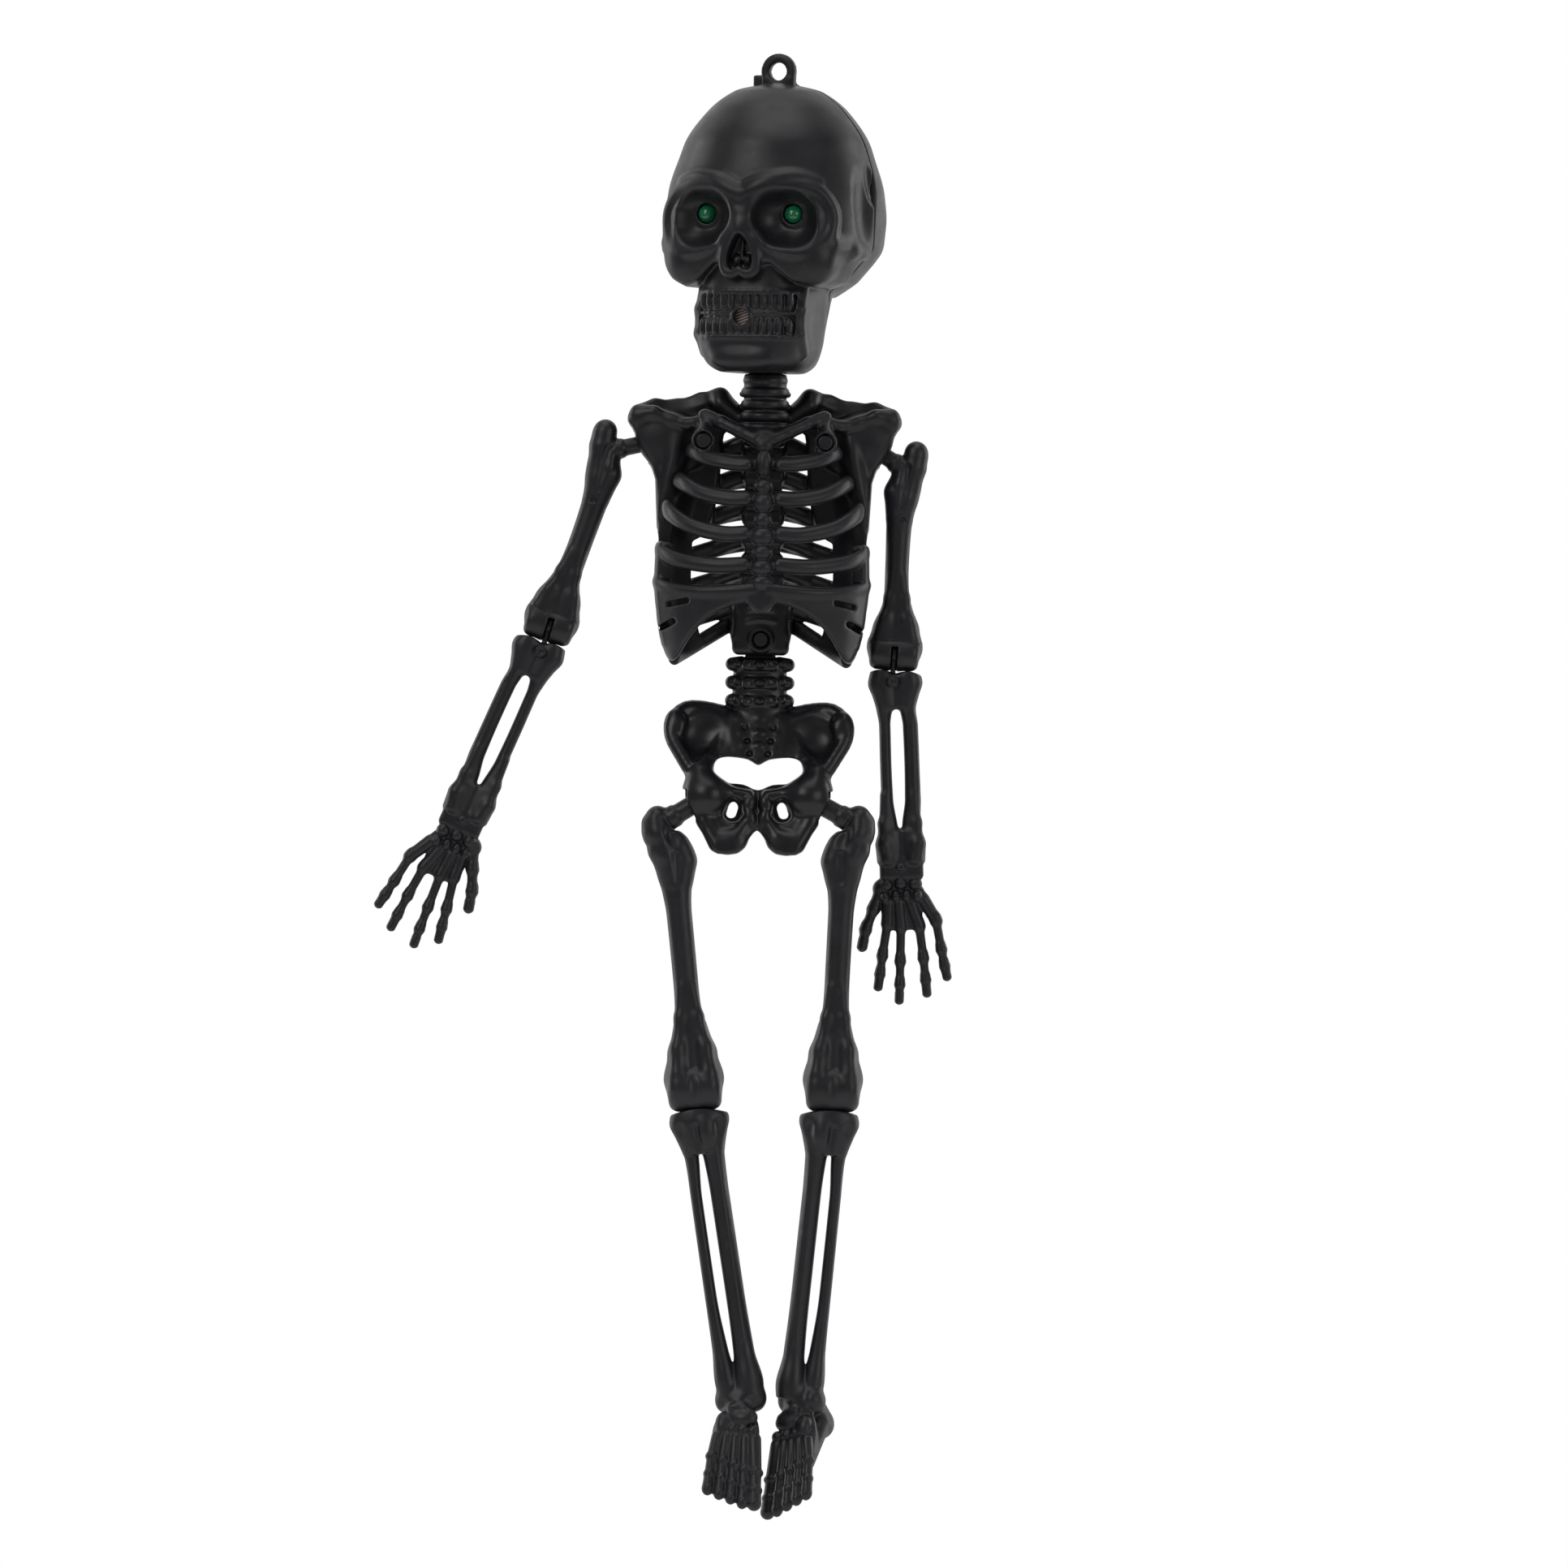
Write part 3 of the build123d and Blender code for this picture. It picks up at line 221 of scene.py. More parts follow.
def glide(at, knots, values):
    """Smooth values between knots, without overshoot."""
    knots, values = np.array(knots, float), np.array(values, float)
    slopes = np.diff(values) / np.diff(knots)
    tangents = np.concatenate([slopes[:1], np.zeros(len(knots) - 2), slopes[-1:]])
    product = slopes[:-1] * slopes[1:]
    rising = product > 0
    tangents[1:-1][rising] = 2 * product[rising] / (slopes[:-1] + slopes[1:])[rising]
    i = np.clip(np.searchsorted(knots, at) - 1, 0, len(knots) - 2)
    gap = knots[i + 1] - knots[i]
    t = np.clip((at - knots[i]) / gap, 0, 1)
    return ((1 + 2 * t) * (1 - t) ** 2 * values[i] + t * (1 - t) ** 2 * gap * tangents[i]
            + t * t * (3 - 2 * t) * values[i + 1] + t * t * (t - 1) * gap * tangents[i + 1])


def even(field, step):
    """Turn a smooth field that is zero on the surface into distances."""
    slope = np.sqrt(sum(g * g for g in np.gradient(field, step)))
    return field / np.maximum(slope, 0.02)


class Column:
    """A body through rounded cross-sections at given heights, each with its own front and back depth."""

    def __init__(self, levels, power=2.0, inset=0.0, rounding=0.6):
        self.levels = sorted(levels)
        self.z, self.half, self.front, self.back = np.array(self.levels).T
        self.power, self.inset, self.rounding = power, inset, rounding

    def sizes(self, z):
        half, front, back = (glide(z, self.z, v) - self.inset for v in (self.half, self.front, self.back))
        power = self.power if np.isscalar(self.power) else glide(z, *zip(*sorted(self.power)))
        return half, front, back, power

    def surface_y(self, x, z):
        """Where its front is, at a point seen from the front."""
        half, front, back, power = (float(np.squeeze(v)) for v in self.sizes(np.array([float(z)])))
        depth = max(1 - (abs(x) / half) ** power, 0.0) ** (1 / power)
        return (back - front) / 2 - (front + back) / 2 * depth

    def shape(self):
        def distance(x, y, z):
            half, front, back, power = self.sizes(z)
            across = np.abs(x) / half
            deep = np.abs(y - (back - front) / 2) / ((front + back) / 2)
            step = float(x.ravel()[1] - x.ravel()[0])
            side = even((across ** power + deep ** power) ** (1 / power) - 1, step)
            return rounded(side, np.maximum(z - self.z[-1], self.z[0] - z), self.rounding)

        low = np.array([-self.half.max(), -self.front.max(), self.z[0]])
        high = np.array([self.half.max(), self.back.max(), self.z[-1]])
        return low, high, distance


def shaft(stations):
    """A bone through ellipses: height, centre x, centre y, half width, half depth."""
    z_at, *values = np.array(sorted(stations), float).T

    def distance(x, y, z):
        cx, cy, half_x, half_y = (glide(z, z_at, v) for v in values)
        step = float(x.ravel()[1] - x.ravel()[0])
        side = even(np.sqrt(((x - cx) / half_x) ** 2 + ((y - cy) / half_y) ** 2) - 1, step)
        return rounded(side, np.maximum(z - z_at[-1], z_at[0] - z), 0.3)

    cx, cy, half_x, half_y = values
    low = np.array([(cx - half_x).min(), (cy - half_y).min(), z_at[0]])
    high = np.array([(cx + half_x).max(), (cy + half_y).max(), z_at[-1]])
    return low, high, distance


def meet(first, *others):
    """Where shapes overlap; a shape wrapped in outside() counts by what it leaves free."""
    low, high, _ = first
    return low, high, lambda x, y, z: np.maximum.reduce([s[2](x, y, z) + 0 * x * y * z for s in (first, *others)])


def outside(shape, inset=0.0):
    low, high, distance = shape
    return low, high, lambda x, y, z: -(distance(x, y, z) + inset)


def link(name, data):
    """A new object in the scene."""
    thing = bpy.data.objects.new(name, data)
    bpy.context.scene.collection.objects.link(thing)
    return thing


EMPTY, OFF_GRID = 9.0, 3.0  # distances where there is no shape yet, and where a turned grid doesn't reach


class Clay:
    """Signed distances on a grid, added to and cut by shapes, and meshed at the end."""

    def __init__(self, low, high, step):
        self.low, self.step = np.array(low, float), step
        counts = np.ceil((np.array(high) - self.low) / step).astype(int) + 1
        self.axes = [(lo + step * np.arange(n)).astype(np.float32) for lo, n in zip(self.low, counts)]
        self.field = np.full(counts, EMPTY, np.float32)

    def window(self, low, high):
        where = []
        for axis, a, b in zip(self.axes, low, high):
            i, j = np.searchsorted(axis, (a, b))
            i = min(i, len(axis) - 2)
            where.append(slice(i, max(j, i + 2)))
        return tuple(where), np.ix_(*(axis[s] for axis, s in zip(self.axes, where)))

    def merge(self, shape, soft, sign):
        low, high, distance = shape
        pad = soft + 2 * self.step
        where, xyz = self.window(low - pad, high + pad)
        self.field[where] = sign * smooth_min(sign * self.field[where], distance(*xyz), soft)

    def add(self, shape, soft=0.0):
        self.merge(shape, soft, 1)

    def cut(self, shape, soft=0.0):
        self.merge(shape, soft, -1)

    def chain(self, points, radii, soft):
        """Rods from point to point; radii is one radius or a radius for each point."""
        if np.isscalar(radii):
            radii = [radii] * len(points)
        for a, b, ra, rb in zip(points, points[1:], radii, radii[1:]):
            self.add(rod(a, b, ra, rb), soft)

    def keep(self, shape, soft=0.0):
        """Keep only what lies inside a shape."""
        self.field = -smooth_min(-self.field, -shape[2](*np.ix_(*self.axes)), soft)

    def copy(self):
        other = Clay.__new__(Clay)
        other.low, other.step, other.axes = self.low, self.step, self.axes
        other.field = self.field.copy()
        return other

    def mesh(self, name, place, mirror):
        """A mesh object in metres, placed by a matrix in millimetres."""
        reach = 3.0
        grid = openvdb.FloatGrid(reach)
        grid.copyFromArray(np.clip(self.field / self.step, -reach, reach).astype(np.float32))
        points, quads = grid.convertToQuads(isovalue=0.0)
        points = points * self.step + self.low
        if mirror:
            points[:, 0] *= -1
            quads = quads[:, ::-1]
        matrix = np.array(place)
        points = (points @ matrix[:3, :3].T + matrix[:3, 3]) * MM
        mesh = bpy.data.meshes.new(name)
        mesh.vertices.add(len(points))
        mesh.vertices.foreach_set("co", points.astype(np.float32).ravel())
        mesh.loops.add(quads.size)
        mesh.loops.foreach_set("vertex_index", quads.astype(np.int32).ravel())
        mesh.polygons.add(len(quads))
        mesh.polygons.foreach_set("loop_start", np.arange(0, quads.size, 4, dtype=np.int32))
        mesh.polygons.foreach_set("use_smooth", np.ones(len(quads), bool))
        mesh.update(calc_edges=True)
        mesh.validate()
        return link(name, mesh)


def cast(clay, node, body, slot, place, share, mirror=False):
    """Mesh a finished bone, with fewer faces where it is nearly flat, and put it in its CAD node's place."""
    piece = clay.mesh(f"{node}_skin", place, mirror)
    modifier = piece.modifiers.new("thin_out", "DECIMATE")
    modifier.ratio = share
    with bpy.context.temp_override(object=piece, active_object=piece):
        bpy.ops.object.modifier_apply(modifier=modifier.name)
    piece.data.materials.append(MATERIALS[slot])
    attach(piece, body)
    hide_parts(node)


# ---- materials ------------------------------------------------------------------------------------
class Nodes:
    """A short way to write a procedural material."""

    def __init__(self, name):
        self.material = bpy.data.materials.new(name)
        self.material.use_nodes = True
        self.tree = self.material.node_tree
        self.surface = self.tree.nodes["Principled BSDF"]
        self.coords = self.tree.nodes.new("ShaderNodeTexCoord").outputs["Object"]

    def node(self, kind, inputs=(), **settings):
        node = self.tree.nodes.new("ShaderNode" + kind)
        for key, value in settings.items():
            setattr(node, key, value)
        for key, value in dict(inputs).items():
            socket = node.inputs[key]
            if isinstance(value, bpy.types.NodeSocket):
                self.tree.links.new(value, socket)
            else:
                socket.default_value = value
        return node

    def noise(self, size_mm, detail=3.0, roughness=0.55):
        """Noise with features of about a given size."""
        return self.node("TexNoise", {"Vector": self.coords, "Scale": 1 / (size_mm * MM), "Detail": detail,
                                      "Roughness": roughness}).outputs["Fac"]

    def ramp(self, value, low, high, at=(0.3, 0.7)):
        """Map a value to numbers between low and high."""
        return self.node("MapRange", {"Value": value, "From Min": at[0], "From Max": at[1], "To Min": low,
                                      "To Max": high}).outputs["Result"]

    def mix(self, share, first, second):
        node = self.node("Mix", data_type="RGBA")
        for socket, value in ((node.inputs[0], share), (node.inputs[6], first), (node.inputs[7], second)):
            if isinstance(value, bpy.types.NodeSocket):
                self.tree.links.new(value, socket)
            else:
                socket.default_value = value if np.isscalar(value) else (*value, 1)
        return node.outputs[2]

    def set(self, key, value):
        socket = self.surface.inputs[key]
        if isinstance(value, bpy.types.NodeSocket):
            self.tree.links.new(value, socket)
        else:
            socket.default_value = (*value, 1) if key == "Base Color" or key == "Emission Color" else value

    def bump(self, height, depth_mm, strength):
        self.set("Normal", self.node("Bump", {"Height": height, "Distance": depth_mm * MM,
                                              "Strength": strength}).outputs["Normal"])


def black_plastic(name, rough, tint=(0.0085, 0.0076, 0.0102)):
    """Near-black moulded plastic: cloudy sheen, fine grain, specks of dust, and convex edges painted paler as a
    painted edge highlight.
    """
    m = Nodes(name)
    clouds, grain, dust = m.noise(9.0), m.noise(0.16, 2.0), m.noise(0.55, 4.0, 0.7)
    pale = tuple(1.7 * c + 0.002 for c in tint)
    base = m.mix(m.ramp(clouds, 0.0, 0.5, (0.35, 0.7)), tint, pale)
    # painted highlight: convex edges, found by pointiness, are mixed towards a paler grey
    edge = m.node("NewGeometry").outputs["Pointiness"]
    base = m.mix(m.ramp(edge, 0.0, 0.35, (0.53, 0.62)), base, (0.030, 0.029, 0.034))
    base = m.mix(m.ramp(dust, 0.0, 0.35, (0.70, 0.76)), base, (0.055, 0.055, 0.060))
    m.set("Base Color", base)
    m.set("Roughness", m.ramp(m.noise(3.2), rough - 0.05, rough + 0.07, (0.3, 0.7)))
    m.set("Specular IOR Level", 0.5)
    m.bump(grain, 0.012, 0.6)
    return m.material


def green_led(name):
    """Diffused green lamp resin."""
    m = Nodes(name)
    m.set("Base Color", m.mix(m.ramp(m.noise(0.8), 0, 1), (0.004, 0.150, 0.056), (0.008, 0.215, 0.082)))
    m.set("Roughness", m.ramp(m.noise(0.3), 0.10, 0.2))
    m.set("Subsurface Weight", 0.3)
    m.set("Subsurface Radius", (0.0002, 0.0012, 0.0004))
    m.set("Coat Weight", 0.6)
    m.set("Coat Roughness", 0.06)
    m.bump(m.noise(0.5), 0.01, 0.4)
    return m.material


def light_sensor(name):
    """Clear resin over rows of silver track on a brown disc."""
    m = Nodes(name)
    turned = m.node("Mapping", {"Vector": m.coords, "Rotation": (0, math.radians(20), 0)}).outputs["Vector"]
    rows = m.node("TexWave", {"Vector": turned, "Scale": 0.314 / (0.44 * MM), "Distortion": 0.3, "Detail": 1.0},
                  bands_direction="Z").outputs["Fac"]
    m.set("Base Color", m.mix(m.ramp(rows, 0, 1, (0.42, 0.58)), (0.085, 0.042, 0.030), (0.60, 0.47, 0.43)))
    m.set("Roughness", m.ramp(m.noise(0.5), 0.22, 0.34))
    m.set("Coat Weight", 0.7)
    m.set("Coat Roughness", 0.08)
    m.bump(rows, 0.02, 0.5)
    return m.material


def plain(name, colour, second, rough, metal=0.0, grain=0.4):
    """A material with a slight change of colour, roughness and height."""
    m = Nodes(name)
    m.set("Base Color", m.mix(m.ramp(m.noise(grain * 4), 0, 1), colour, second))
    m.set("Roughness", m.ramp(m.noise(grain * 2), rough - 0.05, rough + 0.08))
    m.set("Metallic", metal)
    m.bump(m.noise(grain), 0.01, 0.5)
    return m.material


MATERIALS = {
    "black_plastic": black_plastic("black_plastic", 0.40),
    "black_gloss_plastic": black_plastic("black_gloss_plastic", 0.31, (0.0070, 0.0063, 0.0084)),
    "green_led": green_led("green_led"),
    "sensor_epoxy": light_sensor("sensor_epoxy"),
    "board_laminate": plain("board_laminate", (0.012, 0.10, 0.04), (0.02, 0.16, 0.06), 0.35),
    "chip_resin": plain("chip_resin", (0.008, 0.008, 0.008), (0.02, 0.02, 0.02), 0.3),
    "resistor_ceramic": plain("resistor_ceramic", (0.03, 0.03, 0.03), (0.08, 0.08, 0.08), 0.6),
    "screw_steel": plain("screw_steel", (0.50, 0.50, 0.52), (0.62, 0.62, 0.63), 0.35, 1.0, 0.2),
    "cell_steel": plain("cell_steel", (0.60, 0.60, 0.61), (0.70, 0.70, 0.71), 0.2, 1.0),
    "contact_nickel": plain("contact_nickel", (0.52, 0.50, 0.46), (0.62, 0.60, 0.56), 0.3, 1.0),
    "wire_insulation": plain("wire_insulation", (0.35, 0.02, 0.02), (0.45, 0.03, 0.03), 0.5),
    "switch_can": plain("switch_can", (0.45, 0.45, 0.46), (0.55, 0.55, 0.56), 0.4, 1.0),
    "switch_plastic": plain("switch_plastic", (0.015, 0.015, 0.015), (0.03, 0.03, 0.03), 0.45),
}


# ---- skull, upright with its seam on the XZ plane --------------------------------------------------
SKULL_STEP = 0.28
WALL = 1.6
FLOOR_Z = -46.2
EYE_X, EYE_Z, EYE_FLOOR, LED_R = 7.5, -23.9, 12.6, 1.5
MOUTH_Z, MOUTH_HOLE_R, SENSOR_R, SENSOR_FACE = -40.8, 1.3, 2.2, 14.6
NECK_HOLE_R = 2.75
LOOP_OUTER_R, LOOP_HOLE_R, LOOP_THICK = 2.95, 1.45, 1.5

CRANIUM = Column([
    (-2.0, 3.4, 3.6, 4.0), (-3.4, 7.4, 7.6, 8.0), (-6.5, 11.4, 11.8, 12.4), (-12.5, 15.4, 15.9, 16.0),
    (-20.5, 17.3, 17.2, 17.0), (-28.0, 17.1, 17.0, 15.8), (-34.0, 14.6, 16.3, 12.0), (-38.5, 12.0, 14.5, 8.0),
], power=[(-2.0, 2.0), (-14.0, 2.0), (-20.0, 2.35), (-25.0, 2.8), (-38.5, 2.8)], rounding=1.2)
JAW = Column([
    (-27.0, 8.6, 14.8, 13.0), (-31.0, 8.8, 15.4, 12.6), (-34.0, 9.3, 15.7, 11.4), (-38.5, 9.7, 16.2, 6.8),
    (-44.0, 9.5, 16.4, 4.2), (-47.0, 8.8, 16.0, 3.8), (-49.7, 7.2, 14.6, 3.4),
], power=2.9, rounding=1.6)
ORBIT = [(1.7, -22.0), (4.6, -20.0), (8.5, -19.3), (12.0, -20.3), (14.1, -23.6), (13.7, -27.6), (10.8, -30.0),
         (6.6, -29.7), (3.2, -27.2), (1.6, -24.4)]
NOSE = [(0, -26.5), (1.5, -27.9), (2.75, -30.8), (2.6, -33.0), (1.35, -33.8), (0, -33.0)]
TEETH, TOOTH_PITCH, TOOTH_INSET = 6, 1.33, 0.75
UPPER_TEETH_Z, LOWER_TEETH_Z, TOOTH_HALF = -38.35, -42.15, 1.42


def on_face(x, z, sink, surface=CRANIUM):
    """A point on the face's surface, or sunk a little into it."""
    return x, surface.surface_y(x, z) + sink, z


def on_side(s, y, z, sink):
    """A point on the side of the head, at a given depth and height."""
    half, front, back, power = (float(np.squeeze(v)) for v in CRANIUM.sizes(np.array([float(z)])))
    deep = abs(y - (back - front) / 2) / ((front + back) / 2)
    return s * (half * (1 - deep ** power) ** (1 / power) - sink), y, z


BROW = [(0.3, -20.9), (2.6, -19.7), (5.2, -18.5), (8.6, -17.9), (12.0, -18.8)]


def cheeks_and_brow(head):
    under = mirrored([(0, -30.6), (2.4, -30.2), (5.0, -32.2), (8.2, -35.0), (11.2, -35.9), (13.8, -34.9),
                      (16.2, -31.6), (20, -29.6), (20, -52), (0, -52)])
    behind = mirrored([(0, -34), (8, -37.0), (12.0, -34.6), (15.4, -31.0), (20, -28.5), (20, -52), (0, -52)])
    for s in BOTH:
        head.add(egg((s * 11.3, -11.8, -31.0), (3.6, 3.4, 4.4), (0, 0, s * 30)), 2.0)
    head.cut(prism(under, -25, -2.5, 0.5), 0.9)
    head.cut(prism(behind, -2.5, 25, 0.5), 1.4)
    head.add(JAW.shape(), 0.55)
    for s in BOTH:
        brow = smooth_line([on_face(x, z, 0.6) for x, z in flip(BROW, s)], 4)
        swell = np.interp(np.linspace(0, 4, len(brow)), range(5), (0.95, 1.05, 0.7, 0.35, 0.1))
        head.chain(brow, swell, 1.5)
        # hollow temple, its crease, and the arch of the cheekbone under it
        head.cut(egg((s * 18.4, -4.6, -22.0), (2.9, 4.0, 8.6), (6, 0, 0)), 1.1)
        head.cut(egg((s * 17.9, -1.9, -17.2), (2.0, 1.9, 5.6), (16, 0, 0)), 0.3)
        head.chain([on_side(s, y, z, 0.6) for y, z in ((-12.0, -28.6), (-7.0, -29.4), (-1.5, -30.0))],
                   (1.4, 1.0, 0.8), 1.4)


def orbits(head):
    for s in BOTH:
        rim = smooth_line([on_face(x, z, 0.5) for x, z in flip(ORBIT, s)], 4, closed=True)
        head.chain(rim, 0.85, 0.9)
    for s in BOTH:
        # a broad shallow bowl with a deeper one inside it, so that two edges ring the eye
        for x, z in ((6.9, -24.2), (9.3, -23.8), (9.4, -25.8), (7.0, -25.2)):
            head.cut(egg((s * x, -18.9, z), (5.7, 4.2, 4.9), (0, 0, s * 15)), 0.6)
        for x, z in ((7.1, -24.4), (9.1, -24.0), (9.2, -25.6), (7.2, -25.2)):
            head.cut(egg((s * x, -18.9, z), (5.0, 6.4, 4.3), (0, 0, s * 15)), 0.35)
        head.add(pin(s * EYE_X, EYE_Z, -8.6, -EYE_FLOOR - 0.35, LED_R + 0.7, 0.3), 0.4)
        head.cut(pin(s * EYE_X, EYE_Z, -8, -16, LED_R + 0.1))


def nose(head):
    head.chain([on_face(0, -21.4, 0.7), (0, -17.0, -24.0), (0, -17.4, -26.8)], (0.9, 0.75, 1.1), 1.1)
    for s in BOTH:
        head.chain([(s * 0.7, -17.0, -25.8), (s * 2.4, -16.5, -28.2), (s * 3.3, -15.8, -31.0)], (1.0, 1.1, 1.1), 1.2)
    rim = [(x, -17.2 + 0.10 * abs(x), z) for x, z in mirrored(NOSE)]
    head.chain(smooth_line(rim, 3, closed=True), 0.72, 0.6)
    opening = closed_line([(x * 0.74, -30.4 + (z + 30.4) * 0.80) for x, z in mirrored(NOSE)], 3)
    head.cut(prism(opening, -20, -15.3, 0.3), 0.35)
    head.add(rod((0, -15.5, -27.6), (0, -16.1, -31.4), 0.34), 0.3)
    for s in BOTH:
        head.add(egg((s * 0.95, -15.3, -31.7), (0.85, 1.15, 1.15)), 0.15)


def teeth(head):
    band = block((0, -14, -40.3), (8.35, 6, 3.45), 0.4)
    head.cut(meet(band, outside(JAW.shape(), TOOTH_INSET)), 0.25)
    gum = np.linspace(-8.2, 8.2, 15)
    for z, radius, sink in ((-36.7, 0.35, 0.3), (-44.1, 0.4, 0.35), (-40.15, 0.28, TOOTH_INSET - 0.1)):
        head.chain([on_face(x, z, sink, JAW) for x in gum], radius, 0.4)
    for z, push in ((UPPER_TEETH_Z, 1), (LOWER_TEETH_Z, -1)):
        for i in range(-TEETH, TEETH):
            x = (i + 0.5) * TOOTH_PITCH
            y = JAW.surface_y(x, z) + TOOTH_INSET + 0.25
            wide = 0.72 if abs(x) > 1 else 0.76
            lean = math.degrees(math.atan(JAW.surface_y(abs(x) + 0.5, z) - JAW.surface_y(abs(x) - 0.5, z)))
            turn = (0, 0, math.copysign(lean, x))
            head.add(egg((x, y, z), (wide, 0.85, TOOTH_HALF), turn), 0.12)
            head.add(egg((x, y - 0.05, z + push * 0.9), (wide * 0.8, 0.8, 0.9), turn), 0.25)
    for s in BOTH:
        head.chain([on_face(s * 8.75, z, 0.5, JAW) for z in (-35.6, -39.5, -43.5, -46.6)], (0.7, 0.8, 0.8, 0.6), 0.9)
    head.add(pin(0, MOUTH_Z, -13, -16.25, MOUTH_HOLE_R + 0.55, 0.3), 0.3)
    head.cut(pin(0, MOUTH_Z, -10, -20, MOUTH_HOLE_R))
    # chin, and the hollow between it and the teeth
    head.cut(rod((-4.2, -17.4, -45.4), (4.2, -17.4, -45.4), 0.8), 1.6)
    head.add(egg((0, -14.6, -47.6), (5.2, 1.7, 1.7)), 1.4)
    for s in BOTH:
        head.cut(egg((s * 10.6, -6.5, -41.0), (1.1, 3.4, 4.0)), 0.9)


def sculpt_head():
    """The outside of the whole head, both shells in one."""
    head = Clay((-18.8, -19.6, -50.6), (18.8, 17.8, 3.6), SKULL_STEP)
    head.add(CRANIUM.shape())
    cheeks_and_brow(head)
    orbits(head)
    nose(head)
    teeth(head)
    return head


def hollow(head):
    """The head's wall, solid where the neck's floor is."""
    inside = head.copy()
    inside.field = inside.field + WALL
    inside.keep((None, None, lambda x, y, z: FLOOR_Z - z + 0 * (x + y)))
    shell = head.copy()
    shell.field = np.maximum(head.field, -inside.field)
    return shell


SEAM_HALF = 0.05
BOARD_POST_X, BOARD_POST_Z = 6.5, -29.4
SHELL_POST_X, SHELL_POST_Z = 10.6, -30.0
DOOR_Z, DOOR_SCREW_Z, SWITCH_Z = -15.1, -9.2, -27.2


def half_space(sign):
    """In front of the seam for -1, behind it for +1."""
    return None, None, lambda x, y, z: SEAM_HALF - sign * y + 0 * (x + z)


def neck_hole():
    return drum((0, -NECK_FORWARD, -52), (0, -NECK_FORWARD, -45), NECK_HOLE_R)


def skull_front(shell):
    front = shell.copy()
    front.cut(pin(0, MOUTH_Z, -10, -SENSOR_FACE - 0.15, SENSOR_R + 0.15))
    for s in BOTH:
        front.add(pin(s * BOARD_POST_X, BOARD_POST_Z, -6.3, -14.2, 1.3))
        front.add(pin(s * SHELL_POST_X, SHELL_POST_Z, 0, -10.6, 1.9))
        front.cut(pin(s * BOARD_POST_X, BOARD_POST_Z, -6.2, -11.0, 0.8))
        front.cut(pin(s * SHELL_POST_X, SHELL_POST_Z, 0.1, -7.0, 0.95))
        front.cut(pin(s * EYE_X, EYE_Z, -7.0, -9.6, LED_R + 0.6))
    front.keep(half_space(-1), 0.22)
    front.cut(neck_hole())
    front.cut(block((0, -NECK_FORWARD / 2 + 0.5, -49), (NECK_HOLE_R, NECK_FORWARD / 2 + 0.5, 3.2)))
    front.cut(block((0, 0, -2), (LOOP_OUTER_R + 0.1, LOOP_THICK / 2 + 0.1, 2.1)))
    return front


def skull_rear(shell):
    rear = shell.copy()
    bay = meet(block((0, 9.1, -17.5), (10.8, 8.5, 7.2)), outside(block((0, 9.1, -17.5), (9.6, 9.5, 6.0))))
    inner = Column(CRANIUM.levels, CRANIUM.power, 0.5).shape()
    rear.add(meet(bay, inner))
    rear.add(pin(0, DOOR_SCREW_Z, 4, 11.8, 2.2))
    for s in BOTH:
        rear.add(meet(pin(s * SHELL_POST_X, SHELL_POST_Z, 0, 13, 2.8), inner))
    rear.keep(half_space(1), 0.22)
    rear.cut(block((0, 16, DOOR_Z), (8.6, 4.5, 7.9), 0.5))
    rear.cut(pin(0, DOOR_SCREW_Z, 3.9, 14, 0.9))
    for s in BOTH:
        rear.cut(pin(s * SHELL_POST_X, SHELL_POST_Z, -1, 12, 1.0))
        rear.cut(pin(s * SHELL_POST_X, SHELL_POST_Z, 8.3, 20, 1.85))
    rear.cut(block((0, 17, SWITCH_Z), (4.5, 2.0, 1.8), 0.3))
    rear.cut(block((0, 14, SWITCH_Z), (2.0, 3.2, 1.0), 0.2))
    rear.add(block((0, -NECK_FORWARD / 2 + 0.6, -47.95), (2.6, NECK_FORWARD / 2 + 0.6, 1.6), 0.2))
    rear.cut(neck_hole())
    half = LOOP_THICK / 2
    rear.add(pin(0, 0, -half, half, LOOP_OUTER_R, 0.35))
    rear.add(block((0, 0, -2.1), (LOOP_OUTER_R - 0.15, half, 1.2), 0.2), 0.3)
    rear.add(block((0, 0.9, -2.6), (LOOP_OUTER_R, 0.8, 0.7), 0.2), 0.3)
    rear.add(block((-3.5, 0.5, -1.9), (1.0, 0.75, 1.3), 0.15), 0.1)
    rear.cut(pin(0, 0, -2, 2, LOOP_HOLE_R + 0.03))
    return rear


def battery_door(shell):
    door = shell.copy()
    door.keep(block((0, 16, DOOR_Z), (8.42, 4.5, 7.72), 0.5), 0.3)
    door.add(pin(0, DOOR_SCREW_Z, 12.0, 13.3, 2.2))
    door.cut(pin(0, DOOR_SCREW_Z, 11, 20, 0.9))
    door.cut(pin(0, DOOR_SCREW_Z, 13.0, 20, 1.75))
    # three long grooves to push the door by
    for z in (-19.2, -20.3, -21.4):
        for s in BOTH:
            door.cut(rod((0, 16.95, z), (s * 3.4, 16.72, z), 0.34), 0.2)
    return door


def build_skull():
    shell = hollow(sculpt_head())
    for node, shape, share in (("skull_front_shell", skull_front, 0.85), ("skull_rear_shell", skull_rear, 0.4),
                               ("battery_door", battery_door, 0.8)):
        cast(shape(shell), node, "skull", "black_plastic", HEAD_PLACE, share)


